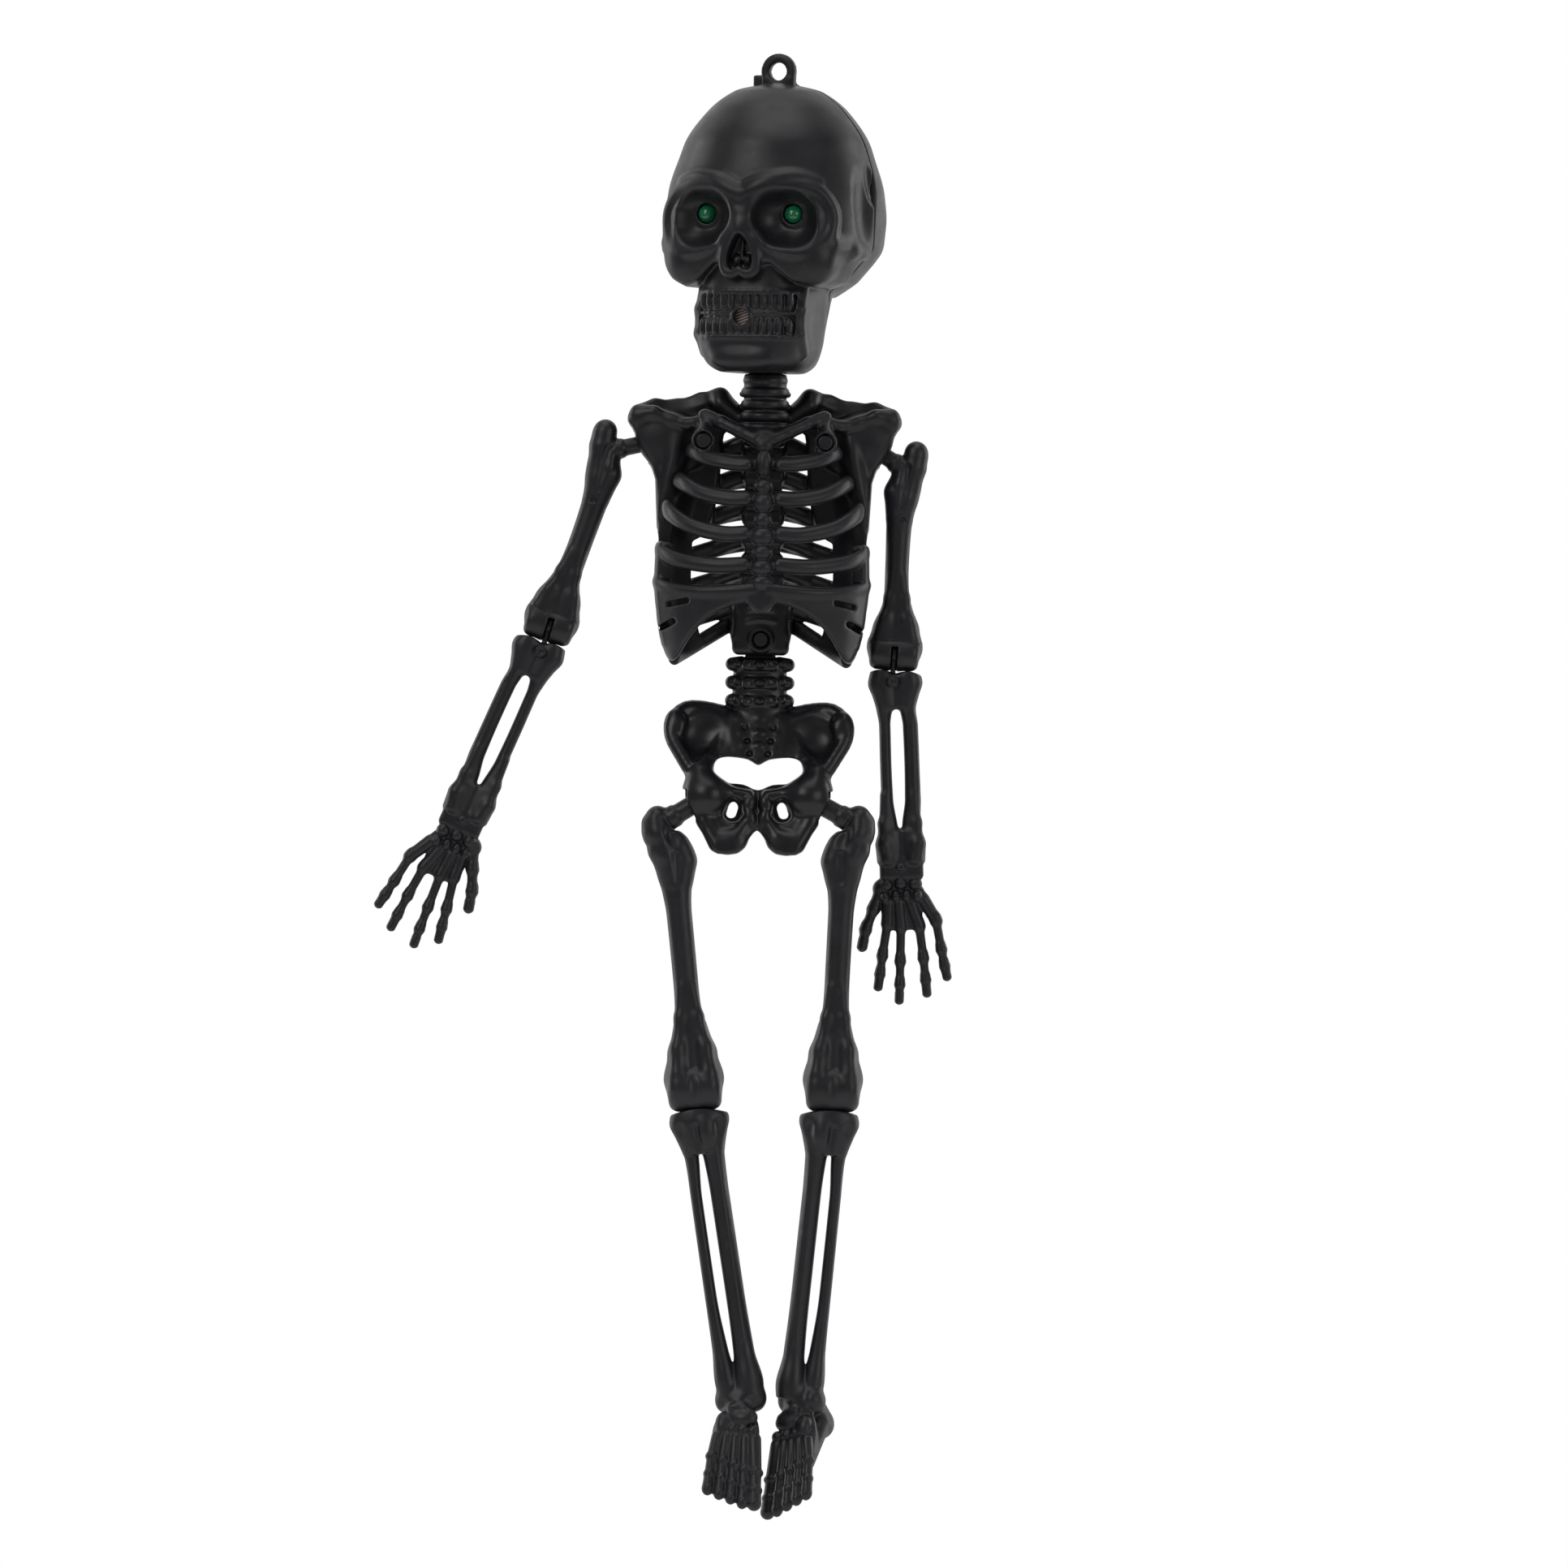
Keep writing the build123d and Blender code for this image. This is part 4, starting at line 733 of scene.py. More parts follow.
# ---- chest, upright with the neck's axis at the origin ------------------------------------------------
CHEST_STEP = 0.25
THORAX = Column([
    (-54.0, 12.8, 6.0, 6.5), (-60.0, 12.6, 7.8, 7.8), (-67.0, 14.9, 10.6, 9.0), (-75.0, 17.1, 12.3, 9.5),
    (-83.0, 17.6, 12.8, 9.5), (-90.0, 17.0, 12.3, 9.0), (-98.0, 15.4, 11.0, 8.2),
], inset=1.0)
PARTING = 0.15
# the breastbone's swellings: height, half width, half height
STERNUM_BEADS = [(-64.9, 1.35, 2.65), (-68.5, 1.65, 1.45), (-71.2, 1.8, 1.75), (-73.95, 1.6, 1.5),
                 (-76.65, 2.05, 1.7), (-79.25, 1.75, 1.4), (-81.7, 2.0, 1.55), (-84.15, 2.0, 1.4)]
FRONT_RIBS = [
    [(2.9, -64.7), (5.4, -64.6), (9.0, -63.9), (11.9, -62.6)],
    [(2.9, -70.4), (5.9, -70.4), (10.3, -69.5), (13.9, -67.5)],
    [(3.0, -76.2), (6.4, -76.3), (11.4, -75.2), (14.8, -73.2), (16.3, -71.5)],
    [(3.0, -81.3), (8.0, -81.5), (14.0, -80.6), (17.6, -78.8)],
]
RIB_HALF, RIB_DEPTH = 1.32, 1.2
SHOULDER = Vector((16.7, 4.0, -60.8))
BALL_R, BALL_GAP, ARM_PEG_R, LEG_PEG_R = 2.2, 0.15, 1.38, 1.6
SHOULDER_SLOT, HIP_SLOT, SLOT_REACH = (-36.0, -6.0), (-42.0, -12.0), 14.0
WAIST_Z, WAIST_Y, WAIST_TONGUE, WAIST_CHEEK = -93.4, 5.2, 2.8, 1.6


def band(points, half, depth, front):
    """A rounded rib that follows the chest's wall, seen from the front as a line of a given half height."""
    line = [tuple(p) for p in smooth_line(points, 4)]
    xs, zs = zip(*line)
    wall = THORAX.shape()[2]

    def distance(x, y, z):
        across = line_distance(line, x, z) / half
        deep = wall(x, y, z) / depth
        rib = (np.sqrt(across ** 2 + deep ** 2) - 1) * min(half, depth)
        return np.maximum(rib, PARTING + (y if front else -y))

    reach = 14.0
    low = np.array([min(xs) - half, -reach if front else 0.0, min(zs) - half])
    high = np.array([max(xs) + half, 0.0 if front else 11.0, max(zs) + half])
    return low, high, distance


def wall_plate(points, half_depth, front, rounding):
    """A plate that follows the chest's wall, with an outline seen from the front."""
    xs, zs = zip(*points)
    wall = THORAX.shape()[2]

    def distance(x, y, z):
        plate = rounded(outline_distance(points, x, z), np.abs(wall(x, y, z)) - half_depth, rounding)
        return np.maximum(plate, PARTING + (y if front else -y))

    return (np.array([min(xs), -14.0 if front else 0.0, min(zs)]),
            np.array([max(xs), 0.0 if front else 11.0, max(zs)]), distance)


def wall_front(x, z, sink):
    return x, THORAX.surface_y(x, z) + sink, z


def slit(ends, radius, front, back):
    """A long round-ended hole, seen from the front as a line."""
    xs, zs = zip(*ends)
    middle, half = (front + back) / 2, (back - front) / 2
    return (np.array([min(xs) - radius, front, min(zs) - radius]),
            np.array([max(xs) + radius, back, max(zs) + radius]),
            lambda x, y, z: np.maximum(line_distance(ends, x, z) - radius, np.abs(y - middle) - half))


def side_bar(s, front, top, low):
    """The upright bar down the chest's side, notched where the ribs meet it."""
    wall = THORAX.shape()[2]
    y_mid = -2.4 if front else 2.4

    def distance(x, y, z):
        bar = rounded(np.abs(wall(x, y, z)) - 1.05, np.abs(y - y_mid) - 2.3, 0.5)
        return rounded(bar, np.abs(z - (top + low) / 2) - (top - low) / 2, 0.6)

    x_low, x_high = sorted((s * 10.0, s * 19.0))
    return np.array([x_low, y_mid - 2.6, low]), np.array([x_high, y_mid + 2.6, top]), distance


def chest_front():
    chest = Clay((-19.8, -14.6, -98.4), (19.8, 0.6, -55.0), CHEST_STEP)
    for s in BOTH:
        chest.add(side_bar(s, True, -77.6, -95.0), 0.3)
        plate = [(0.6, -84.4), (5.0, -84.6), (10.0, -85.1), (14.5, -84.7), (18.2, -83.5), (18.6, -86.0),
                 (17.9, -90.0), (16.6, -94.6), (15.0, -97.0), (13.6, -96.6), (11.2, -92.8), (8.4, -89.9),
                 (4.6, -88.0), (0.6, -87.0)]
        chest.add(wall_plate(closed_line(flip(plate, s), 3), 1.0, True, 0.8), 0.4)
        for points in FRONT_RIBS:
            chest.add(band(flip(points, s), RIB_HALF, RIB_DEPTH, True), 0.35)
        chest.add(band(flip([(1.2, -85.4), (8.0, -85.8), (14.0, -85.4), (18.0, -84.2)], s), 0.95, 1.2, True), 0.8)
        for points, radius in (([(12.2, -87.3), (15.0, -87.9)], 0.42), ([(14.4, -90.7), (16.2, -91.7)], 0.48)):
            chest.cut(slit(flip(points, s), radius, -14.0, -0.5), 0.35)
        for points, radius in (([(16.4, -88.6), (18.5, -88.8)], 0.45), ([(15.6, -94.2), (17.6, -94.0)], 0.45)):
            (xa, za), (xb, zb) = flip(points, s)
            chest.cut(rod(wall_front(xa, za, -0.3), wall_front(xb, zb, -0.3), radius), 0.4)
        collar = flip([(1.6, -60.6), (4.0, -59.4), (7.0, -58.0), (9.8, -57.0)], s)
        chest.chain([wall_front(x, z, 0.3) for x, z in collar], (1.2, 1.1, 1.1, 1.25), 0.5)
        # where a rib and the breastbone meet, the corners are filled
        for z in (-64.7, -70.4, -76.2, -81.3):
            chest.add(rod(wall_front(s * 1.2, z, 0.35), wall_front(s * 3.2, z, 0.25), 0.85), 0.3)
        # socket for the back half's peg
        x = s * 10.0
        chest.add(pin(x, -61.0, -5.9, -3.4, 1.95, 0.5), 0.5)
        chest.add(rod((x, -6.0, -61.0), wall_front(s * 11.4, -62.4, 0.6), 1.1), 0.6)
        chest.add(rod((x, -5.6, -60.0), wall_front(s * 9.6, -57.4, 0.8), 1.0), 0.6)
        chest.cut(pin(x, -61.0, -8.0, 0.6, 1.46))
    top = wall_front(0, -60.2, 0.3)
    chest.add(egg((0, top[1], -60.6), (2.3, 1.2, 1.9)), 0.5)
    chest.add(egg(wall_front(0, -61.8, 0.1), (1.6, 1.1, 1.6)), 0.4)
    for z, half, tall in STERNUM_BEADS:
        chest.add(egg(wall_front(0, z, 0.0), (half, 1.65, tall)), 0.1)
    tip = mirrored([(0, -84.9), (1.5, -85.2), (2.45, -86.6), (1.7, -88.4), (0, -89.4)])
    y = wall_front(0, -87, 0)[1]
    chest.add(prism(closed_line(tip, 3), y - 1.2, y + 1.1, 0.9), 0.15)
    return chest


def cut_sockets(clay, centre, slot, gap_radius):
    """Cut both sides' ball sockets, and the slots that their pegs move in."""
    low, high = (math.radians(a) for a in slot)
    x, y, z = centre
    fan = [(x + out * math.cos(angle) - edge * gap_radius * math.sin(angle),
            z + out * math.sin(angle) + edge * gap_radius * math.cos(angle))
           for angle, edge, out in ((high, 1, 0), (high, 1, SLOT_REACH), (low, -1, SLOT_REACH), (low, -1, 0))]
    for s in BOTH:
        clay.cut(prism(flip(fan, s), y - gap_radius, y + gap_radius, 0.3), 0.15)
        clay.cut(egg((s * x, y, z), (BALL_R + BALL_GAP,) * 3))


def shoulder(chest, s):
    """Shoulder blade with its ridges, hollow top and round shoulder, holding the ball socket."""
    def p(*points):
        return [(s * x, y, z) for x, y, z in points]

    rear = [(3.6, -57.5), (4.4, -54.8), (7.0, -52.6), (9.6, -53.4), (13.0, -54.6), (17.7, -55.0), (21.2, -56.0),
            (21.4, -58.6), (19.4, -63.2), (17.6, -67.2), (17.2, -75.2), (14.4, -77.2), (11.6, -77.4), (9.2, -75.6),
            (7.9, -72.0), (7.3, -67.5), (6.9, -63.0), (6.6, -59.6)]
    chest.add(prism(closed_line(flip(rear, s), 2), 4.0, 6.9, 1.0), 0.4)
    shield = [(9.8, -57.4), (13.0, -57.0), (17.5, -56.0), (21.6, -56.2), (22.0, -57.8), (20.8, -60.2), (19.2, -63.6),
              (17.7, -67.4), (17.3, -75.2), (16.6, -75.4), (13.9, -69.4), (12.0, -63.4), (10.6, -59.8)]
    chest.add(prism(closed_line(flip(shield, s), 2), 0.4, 5.5, 1.0), 0.9)
    # the swelling over the socket, the ridge in front of the hollow top, and the ridge behind it
    chest.add(egg((s * 16.6, 3.4, -60.4), (4.6, 3.6, 4.6)), 1.4)
    chest.add(egg((s * 20.2, 3.0, -57.2), (2.3, 2.9, 1.6), (0, s * 16, 0)), 1.0)
    chest.chain(p((9.6, -1.8, -57.4), (12.4, -0.6, -58.2), (15.2, 0.2, -57.6), (18.2, 0.6, -56.4),
                  (20.8, 1.4, -56.2)), (1.1, 0.8, 0.75, 0.9, 1.0), 1.0)
    chest.chain(p((4.6, 3.6, -56.2), (7.4, 3.6, -53.6), (10.6, 4.6, -54.2), (14.5, 5.4, -55.2), (18.0, 4.8, -55.4),
                  (20.8, 3.6, -56.2)), (1.3, 1.35, 1.1, 1.0, 1.2, 1.1), 1.0)
    chest.add(rod((s * 2.8, 2.0, -58.2), (s * 7.2, 2.6, -54.8), 1.5, 1.4), 1.0)
    chest.cut(egg((s * 14.2, 2.6, -53.9), (5.0, 1.9, 2.1), (0, s * 4, 0)), 0.9)
    chest.cut(egg((s * 12.2, -0.6, -65.4), (1.2, 2.4, 5.2), (0, -s * 22, 0)), 1.0)
    chest.add(egg((s * 15.4, 0.2, -66.5), (1.0, 1.0, 6.5), (0, -s * 12, 0)), 1.4)
    chest.add(rod((s * 19.6, 3.6, -63.4), (s * 19.9, 3.6, -64.6), 0.5, 0.3), 0.3)
    # two round pegs beside the end of the collar bone
    chest.add(pin(s * 10.4, -58.9, 1.0, -3.4, 0.95, 0.3), 0.3)
    chest.add(pin(s * 10.0, -61.0, 1.5, -5.7, 1.34, 0.35), 0.3)


def chest_back():
    chest = Clay((-23.2, -8.4, -98.4), (23.2, 10.4, -43.8), CHEST_STEP)
    for s in BOTH:
        for i in range(6):
            z = -61.4 - i * 5.2
            chest.add(band(flip([(0, z), (6, z - 1.0), (12, z - 2.9), (17.6, z - 4.6)], s), 1.45, 1.1, False), 0.4)
        chest.add(band(flip([(1.0, -88.8), (5.0, -90.8), (9.5, -93.6), (14.2, -96.6)], s), 1.25, 1.1, False), 0.4)
        chest.add(side_bar(s, False, -68.5, -95.0), 0.3)
        shoulder(chest, s)
    # spine: a stack of bodies with side and rear spurs
    chest.add(block((0, 5.4, -75), (2.9, 2.4, 17)), 0.3)
    for i in range(9):
        z = -59.4 - i * 3.5
        chest.add(block((0, 5.2, z), (3.5, 2.9, 1.25), 0.9), 0.3)
        chest.add(rod((0, 7.4, z), (0, 9.0, z - 1.0), 0.9, 0.6), 0.4)
    for s in BOTH:
        for i in range(6):
            z = -61.2 - i * 5.2
            chest.add(rod((s * 2.6, 6.2, z + 0.4), (s * 7.2, 7.3, z - 1.3), 1.6, 1.3), 0.5)
    neck(chest)
    waist_clevis(chest)
    cut_sockets(chest, SHOULDER, SHOULDER_SLOT, ARM_PEG_R + 0.2)
    return chest


def neck(chest):
    chest.add(drum((0, 0, -62.0), (0, 0, -52.0), 3.45, 0.8), 0.3)
    chest.add(drum((0, 0, -53.0), (0, 0, -49.85), 3.5, 0.3), 0.2)
    for z, radius, half in ((-50.9, 3.67, 0.5), (-52.9, 3.95, 0.75), (-54.9, 3.95, 0.75), (-56.9, 4.0, 0.75),
                            (-58.7, 4.1, 0.7)):
        chest.add(drum((0, 0, z - half), (0, 0, z + half), radius, 0.45), 0.25)
    for s in BOTH:
        for z in (-52.9, -54.9, -56.9):
            chest.add(rod((s * 3.0, 1.8, z), (s * 3.7, 2.2, z - 0.2), 0.75, 0.55), 0.3)
    chest.add(rod((0, 0.8, -58.2), (0, 4.8, -62.0), 3.6, 3.1), 0.8)
    chest.add(drum((0, 0, -50.5), (0, 0, -45.2), 2.65))
    chest.add(drum((0, 0, -46.1), (0, 0, -44.7), 4.0, 0.2))


def waist_clevis(chest):
    """The block under the ribs with two cheeks, rings round the pin's hole and worn ridges above them."""
    half = WAIST_TONGUE / 2 + 0.15 + WAIST_CHEEK
    chest.add(block((0, WAIST_Y, -91.2), (4.7, half, 4.7), 1.1), 0.3)
    for s in BOTH:
        chest.add(egg((s * 4.0, WAIST_Y, -88.4), (0.9, half, 1.5)), 0.5)
        chest.add(egg((s * 4.1, WAIST_Y, -92.6), (1.0, half, 1.8)), 0.5)
    front = WAIST_Y - half
    for z, width in ((-88.2, 1.9), (-90.0, 2.2)):
        ridge = [(x, front + 0.15, z - 0.35 * (x / width) ** 2) for x in np.linspace(-width, width, 7)]
        chest.chain(ridge, 0.42, 0.35)
    chest.add(pin(0, WAIST_Z, front + 0.4, front - 0.45, 2.15, 0.3), 0.2)
    chest.cut(pin(0, WAIST_Z, front - 1.0, front - 0.12, 1.45), 0.15)
    chest.cut(block((0, WAIST_Y, WAIST_Z - 1.2), (5.4, WAIST_TONGUE / 2 + 0.15, 4.5), 0.1))
    chest.cut(pin(0, WAIST_Z, WAIST_Y - 6.5, WAIST_Y + 6.5, 1.09))


# ---- lower back and pelvis -----------------------------------------------------------------------------
PELVIS_STEP = 0.22
HIP = Vector((8.3, -2.5, -119.2))
PELVIS_LEAN = 22.0  # its plane leans forward going down
PELVIS_PIVOT = (0.8, -113.0)


def leaned(z, depth):
    """The y of the pelvis's leaning plane at a height, and further back by a depth."""
    y0, z0 = PELVIS_PIVOT
    return y0 + (z - z0) * math.tan(math.radians(PELVIS_LEAN)) + depth


def leaning_plate(points, half, rounding, bow=0.0, depth=0.0):
    """A plate in the pelvis's leaning plane, outlined as seen from the front; bow curves its sides forward."""
    xs, zs = zip(*points)
    lean = math.radians(PELVIS_LEAN)
    y0, z0 = PELVIS_PIVOT

    def distance(x, y, z):
        off = (y - y0 - depth - (z - z0) * math.tan(lean) + bow * (x / 15.0) ** 2) * math.cos(lean)
        return rounded(outline_distance(points, x, z), np.abs(off) - half, rounding)

    low_z, high_z = min(zs), max(zs)
    return (np.array([min(xs), leaned(low_z, depth) - half - bow - 1, low_z]),
            np.array([max(xs), leaned(high_z, depth) + half + 1, high_z]), distance)


def pelvis():
    bone = Clay((-16.2, -10.2, -129.2), (16.2, 9.8, -89.6), PELVIS_STEP)
    wings = [(0, -104.6), (3.6, -105.2), (6.0, -105.3), (9.0, -104.3), (12.2, -104.2), (14.4, -105.6),
             (15.3, -108.0), (14.6, -110.6), (12.6, -113.0), (11.3, -115.4), (11.4, -118.0), (10.8, -121.2),
             (8.9, -124.6), (7.4, -127.0), (6.4, -128.6), (3.2, -128.4), (1.2, -126.0), (0, -124.7)]
    bone.add(leaning_plate(closed_line(mirrored(wings), 2), 1.15, 0.9, bow=1.2))
    for s in BOTH:
        def at(x, z, depth=0.0):
            return s * x, leaned(z, depth), z

        def through(x, z, radius, rounding=0.0):
            return drum(at(x, z, -5), at(x, z, 5), radius, rounding)

        # hip bone: thick rim, hollow wing, the line from the rim to the socket
        rim = [at(5.6, -105.6, 0.6), at(9.0, -104.9, 0.2), at(12.0, -105.0, -0.9), at(14.1, -107.0, -1.5),
               at(14.1, -109.6, -1.6), at(12.6, -112.4, -1.4), at(11.0, -115.0, -1.2)]
        bone.chain(smooth_line(rim, 3), 1.2, 0.5)
        bone.add(egg(at(13.1, -108.6, -1.1), (2.1, 1.8, 3.6), (0, s * 18, 0)), 0.5)
        bone.cut(egg(at(8.6, -109.2, -2.4), (3.8, 1.9, 3.6), (-22, s * 20, 0)), 0.9)
        bone.chain([at(8.0, -113.4, -0.6), at(9.2, -115.2, -1.2), at(8.6, -117.0, -1.6), at(5.4, -118.6, -1.6),
                    at(1.6, -119.2, -1.4)], (1.4, 1.7, 1.6, 1.15, 1.1), 0.9)
        bone.add(egg(at(9.4, -118.6, -0.6), (2.9, 2.9, 4.0)), 1.2)
        bone.chain([at(10.2, -119.0, -1.4), at(8.6, -123.2, -0.6), at(6.6, -126.9, 0.0)], (1.3, 1.2, 1.4), 0.9)
        bone.add(egg(at(4.3, -126.6, -0.2), (2.6, 1.5, 1.9)), 0.8)
        bone.chain([at(1.7, -123.4, -0.8), at(3.2, -125.6, -0.6)], (1.1, 1.2), 0.6)
        bone.add(egg(at(1.45, -120.6, -1.5), (1.2, 1.1, 1.9), (0, -s * 14, 0)), 0.3)
        bone.add(egg(at(1.15, -122.8, -1.3), (1.0, 0.9, 1.9), (0, s * 12, 0)), 0.3)
        # the hole beside the symphysis, with a bevelled rim
        bone.cut(egg(at(4.2, -121.4, -1.6), (1.75, 1.6, 2.1), (0, s * 8, 0)), 0.5)
        bone.cut(through(4.2, -121.4, 0.85, 0.1), 0.2)
        bone.cut(meet(through(4.15, -121.0, 0.95), through(4.2, -121.9, 2.0)), 0.2)
        bone.cut(through(4.3, -121.9, 0.85), 0.2)
        # ridge from the wing's inner edge to the sacrum
        bone.chain([at(4.6, -106.4, 1.0), at(5.8, -109.4, 0.2), at(7.2, -112.2, -0.4)], (0.9, 0.8, 0.9), 0.8)
    opening = mirrored([(0, -113.9), (1.6, -113.0), (4.4, -112.7), (6.6, -113.1), (7.3, -114.6), (6.8, -116.6),
                        (5.4, -117.0), (2.4, -117.2), (0, -118.1)])
    bone.cut(leaning_plate(closed_line(opening, 3), 6.0, 0.2), 0.4)
    bone.cut(rod((0, leaned(-119, -3.2), -119), (0, leaned(-124.5, -3.0), -124.5), 0.35), 0.4)
    sacrum(bone)
    lumbar(bone)
    for s in BOTH:
        bone.add(egg((s * HIP.x, HIP.y, HIP.z), (3.75,) * 3), 1.0)
    cut_sockets(bone, HIP, HIP_SLOT, LEG_PEG_R + 0.2)
    return bone


def sacrum(bone):
    wedge = mirrored([(0, -104.8), (4.8, -105.4), (5.4, -108.8), (4.4, -112.4), (1.8, -112.9), (0, -113.8)])
    bone.add(leaning_plate(wedge, 1.5, 1.0, depth=0.5), 0.7)
    for row, (z, wide) in enumerate(((-106.6, 2.3), (-108.9, 1.9), (-111.0, 1.5))):
        bone.add(egg((0, leaned(z, -0.8), z), (1.2, 0.9, 0.85)), 0.4)
        for s in BOTH:
            bone.add(egg((s * (wide + 1.1), leaned(z, -0.7), z - 0.2), (0.9 - 0.1 * row, 0.7, 0.75)), 0.35)
            bone.cut(egg((s * wide, leaned(z - 1.1, -1.3), z - 1.1), (0.5, 0.7, 0.5)), 0.3)


def lumbar(bone):
    """Three vertebrae with rounded side spurs, and the tongue that the waist's pin goes through."""
    y = WAIST_Y - 0.2
    bone.add(shaft([(-108.0, 0, 3.9, 4.4, 2.2), (-105.0, 0, 4.6, 4.5, 2.6), (-97.2, 0, 5.1, 4.3, 2.5)]), 0.3)
    for z in (-97.9, -100.9, -103.9):
        bone.add(block((0, y - 0.6, z + 0.35), (2.6, 2.5, 0.95), 0.5), 0.2)
        bone.add(egg((0, y - 2.9, z + 0.4), (1.1, 0.8, 0.6)), 0.25)
        for s in BOTH:
            bone.add(rod((s * 3.2, y - 0.6, z + 0.4), (s * 4.55, y - 0.6, z + 0.45), 1.4, 1.15), 0.35)
            bone.add(egg((s * 2.3, y - 2.6, z + 0.2), (0.75, 0.8, 0.8)), 0.3)
            bone.add(egg((s * 3.6, y - 1.7, z + 0.6), (0.7, 0.7, 0.6)), 0.3)
        bone.add(rod((0, y + 2.0, z), (0, y + 3.4, z - 0.6), 0.9, 0.6), 0.4)
    half = WAIST_TONGUE / 2
    bone.add(pin(0, WAIST_Z, WAIST_Y - half, WAIST_Y + half, 3.0, 0.25))
    bone.add(block((0, WAIST_Y, WAIST_Z - 2.4), (2.5, half, 2.4), 0.2))
    bone.cut(pin(0, WAIST_Z, WAIST_Y - 3, WAIST_Y + 3, 1.18))


def build_trunk():
    for node, shape, body, slot, share in (("ribcage_front", chest_front, "torso", "black_plastic", 0.7),
                                           ("ribcage_back", chest_back, "torso", "black_plastic", 0.6),
                                           ("lower_back_pelvis", pelvis, "pelvis", "black_gloss_plastic", 0.7)):
        cast(shape(), node, body, slot, BODY_PLACE, share)


# ---- limbs: each is modelled for the left side, hanging straight down from its ball at the origin ---------
LIMB_STEP = 0.2
HAND_STEP = 0.16
PEG_DOWN = {"arm": 29.8, "leg": 28.0}
ELBOW, ELBOW_R, ELBOW_HALF = Vector((7.2, 0, -34.1)), 2.85, 4.3
KNEE, KNEE_R, KNEE_HALF = Vector((4.9, 0, -47.6)), 3.9, 4.65
TONGUE_HALF, HUB_SINK, NECK_HALF, TRUNNION_R, HINGE_BEND = 0.42, 1.25, 0.8, 0.8, 95.0
HINGE_GAP, TONGUE_GAP, SWEEP_GAP, RIM_GAP = 0.25, 0.08, 0.1, 0.25
SWEEP_HALF, RAMP_SLOPE = 7, 0.12
FOREARM_ANGLE, SHANK_ANGLE, ANKLE_DOWN = 6.2, -5.0, -46.8
FOOT_TURN, FOOT_YAW, FOOT_SLOPE = {"left": 16.0, "right": 10.5}, {"left": 40.0, "right": -6.0}, 24.0


def limb_place(side, ball_joint, hinge_joint, hinge, axis_sign):
    """The matrix that puts a limb on its packed joints."""
    s = SIDES[side]
    ball, centre = (Vector(JOINTS[f"{name}_{side}"]["pos_m"]) / MM for name in (ball_joint, hinge_joint))
    across = axis_sign * Vector(JOINTS[f"{hinge_joint}_{side}"]["axis"])
    back = -(centre - ball).cross(across).normalized()
    up = across.cross(back)
    turn = Matrix((across, back, up)).transposed().to_4x4()
    return Matrix.Translation(centre) @ turn @ Matrix.Translation(-Vector((s * hinge.x, hinge.y, hinge.z)))


def swing_slot(hinge, half, reach, neck, bends):
    """The room a tongue's neck swings through, from hanging down to bent back (bends = 1) or forward (-1)."""
    x0, y0, z0 = hinge
    lean = math.radians(HINGE_BEND)
    corner = np.array([half, reach, reach])

    def distance(x, y, z):
        back, up = bends * (y - y0), z - z0
        wedge = np.maximum(-back - neck, back * math.cos(lean) + up * math.sin(lean) - neck)
        return np.maximum(np.maximum(wedge, np.abs(x - x0) - half), np.sqrt(back ** 2 + up ** 2) - reach)

    centre = np.array([x0, y0, z0])
    return centre - corner, centre + corner, distance


def cup_sweep(hinge, radius, cup_half, bends):
    """The room round the condyles that the lower bone's head sweeps as it bends, and a ramp above it."""
    x0, y0, z0 = hinge
    reach, sweep, rim = radius + 3.0, radius + SWEEP_GAP, cup_half + RIM_GAP
    edge = math.sqrt(sweep ** 2 - rim ** 2)

    def distance(x, y, z):
        back, up = bends * (y - y0), z - z0
        ring = np.maximum(sweep - np.sqrt(back ** 2 + up ** 2), up - rim)
        ramp = np.maximum(edge + RAMP_SLOPE * (up - rim) - back, rim - up)
        return np.maximum(np.minimum(ring, ramp), np.maximum(np.abs(x - x0) - SWEEP_HALF, -back))

    centre, corner = np.array([x0, y0, z0]), np.array([SWEEP_HALF, reach, reach + 4])
    return centre - corner, centre + corner, distance


def hinge_end(bone, hinge, radius, half, cup_half, bends):
    """The upper bone's two condyles, with a dark line between them that the lower bone's tongue swings in."""
    x, y, z = hinge
    for s in BOTH:
        bone.add(drum((x - s * 2.0, y, z), (x + s * (half - 0.3), y, z), radius, radius * 0.45), 0.5)
        bone.add(egg((x + s * half * 0.5, y, z + radius * 0.25), (half * 0.5, radius * 0.95, radius * 1.05)), 0.6)
        bone.chain([(x + s * (half - 1.5), y, z + radius * 0.4), (x + s * (half - 2.2), y, z + radius * 1.5),
                    (x + s * (half - 3.0), y, z + radius * 2.6)], (1.5, 1.25, 0.8), 1.2)
    for face in BOTH:
        bone.cut(rod((x, y + face * (radius + 0.3), z - radius),
                     (x, y + face * (radius + 0.25), z + radius * 1.3), 0.5), 0.6)
    bone.cut(cup_sweep(hinge, radius, cup_half, bends), 0.9)
    hub, slot, reach = radius - HUB_SINK, TONGUE_HALF + TONGUE_GAP, TONGUE_HALF + 1.6
    bone.cut(drum((x - TONGUE_HALF - TONGUE_GAP, y, z), (x + TONGUE_HALF + TONGUE_GAP, y, z), hub + 0.12))
    bone.cut(swing_slot(hinge, slot, radius + 1.0, NECK_HALF + 0.15, bends))
    bone.cut(drum((x - reach, y, z), (x + reach, y, z), TRUNNION_R + TONGUE_GAP))


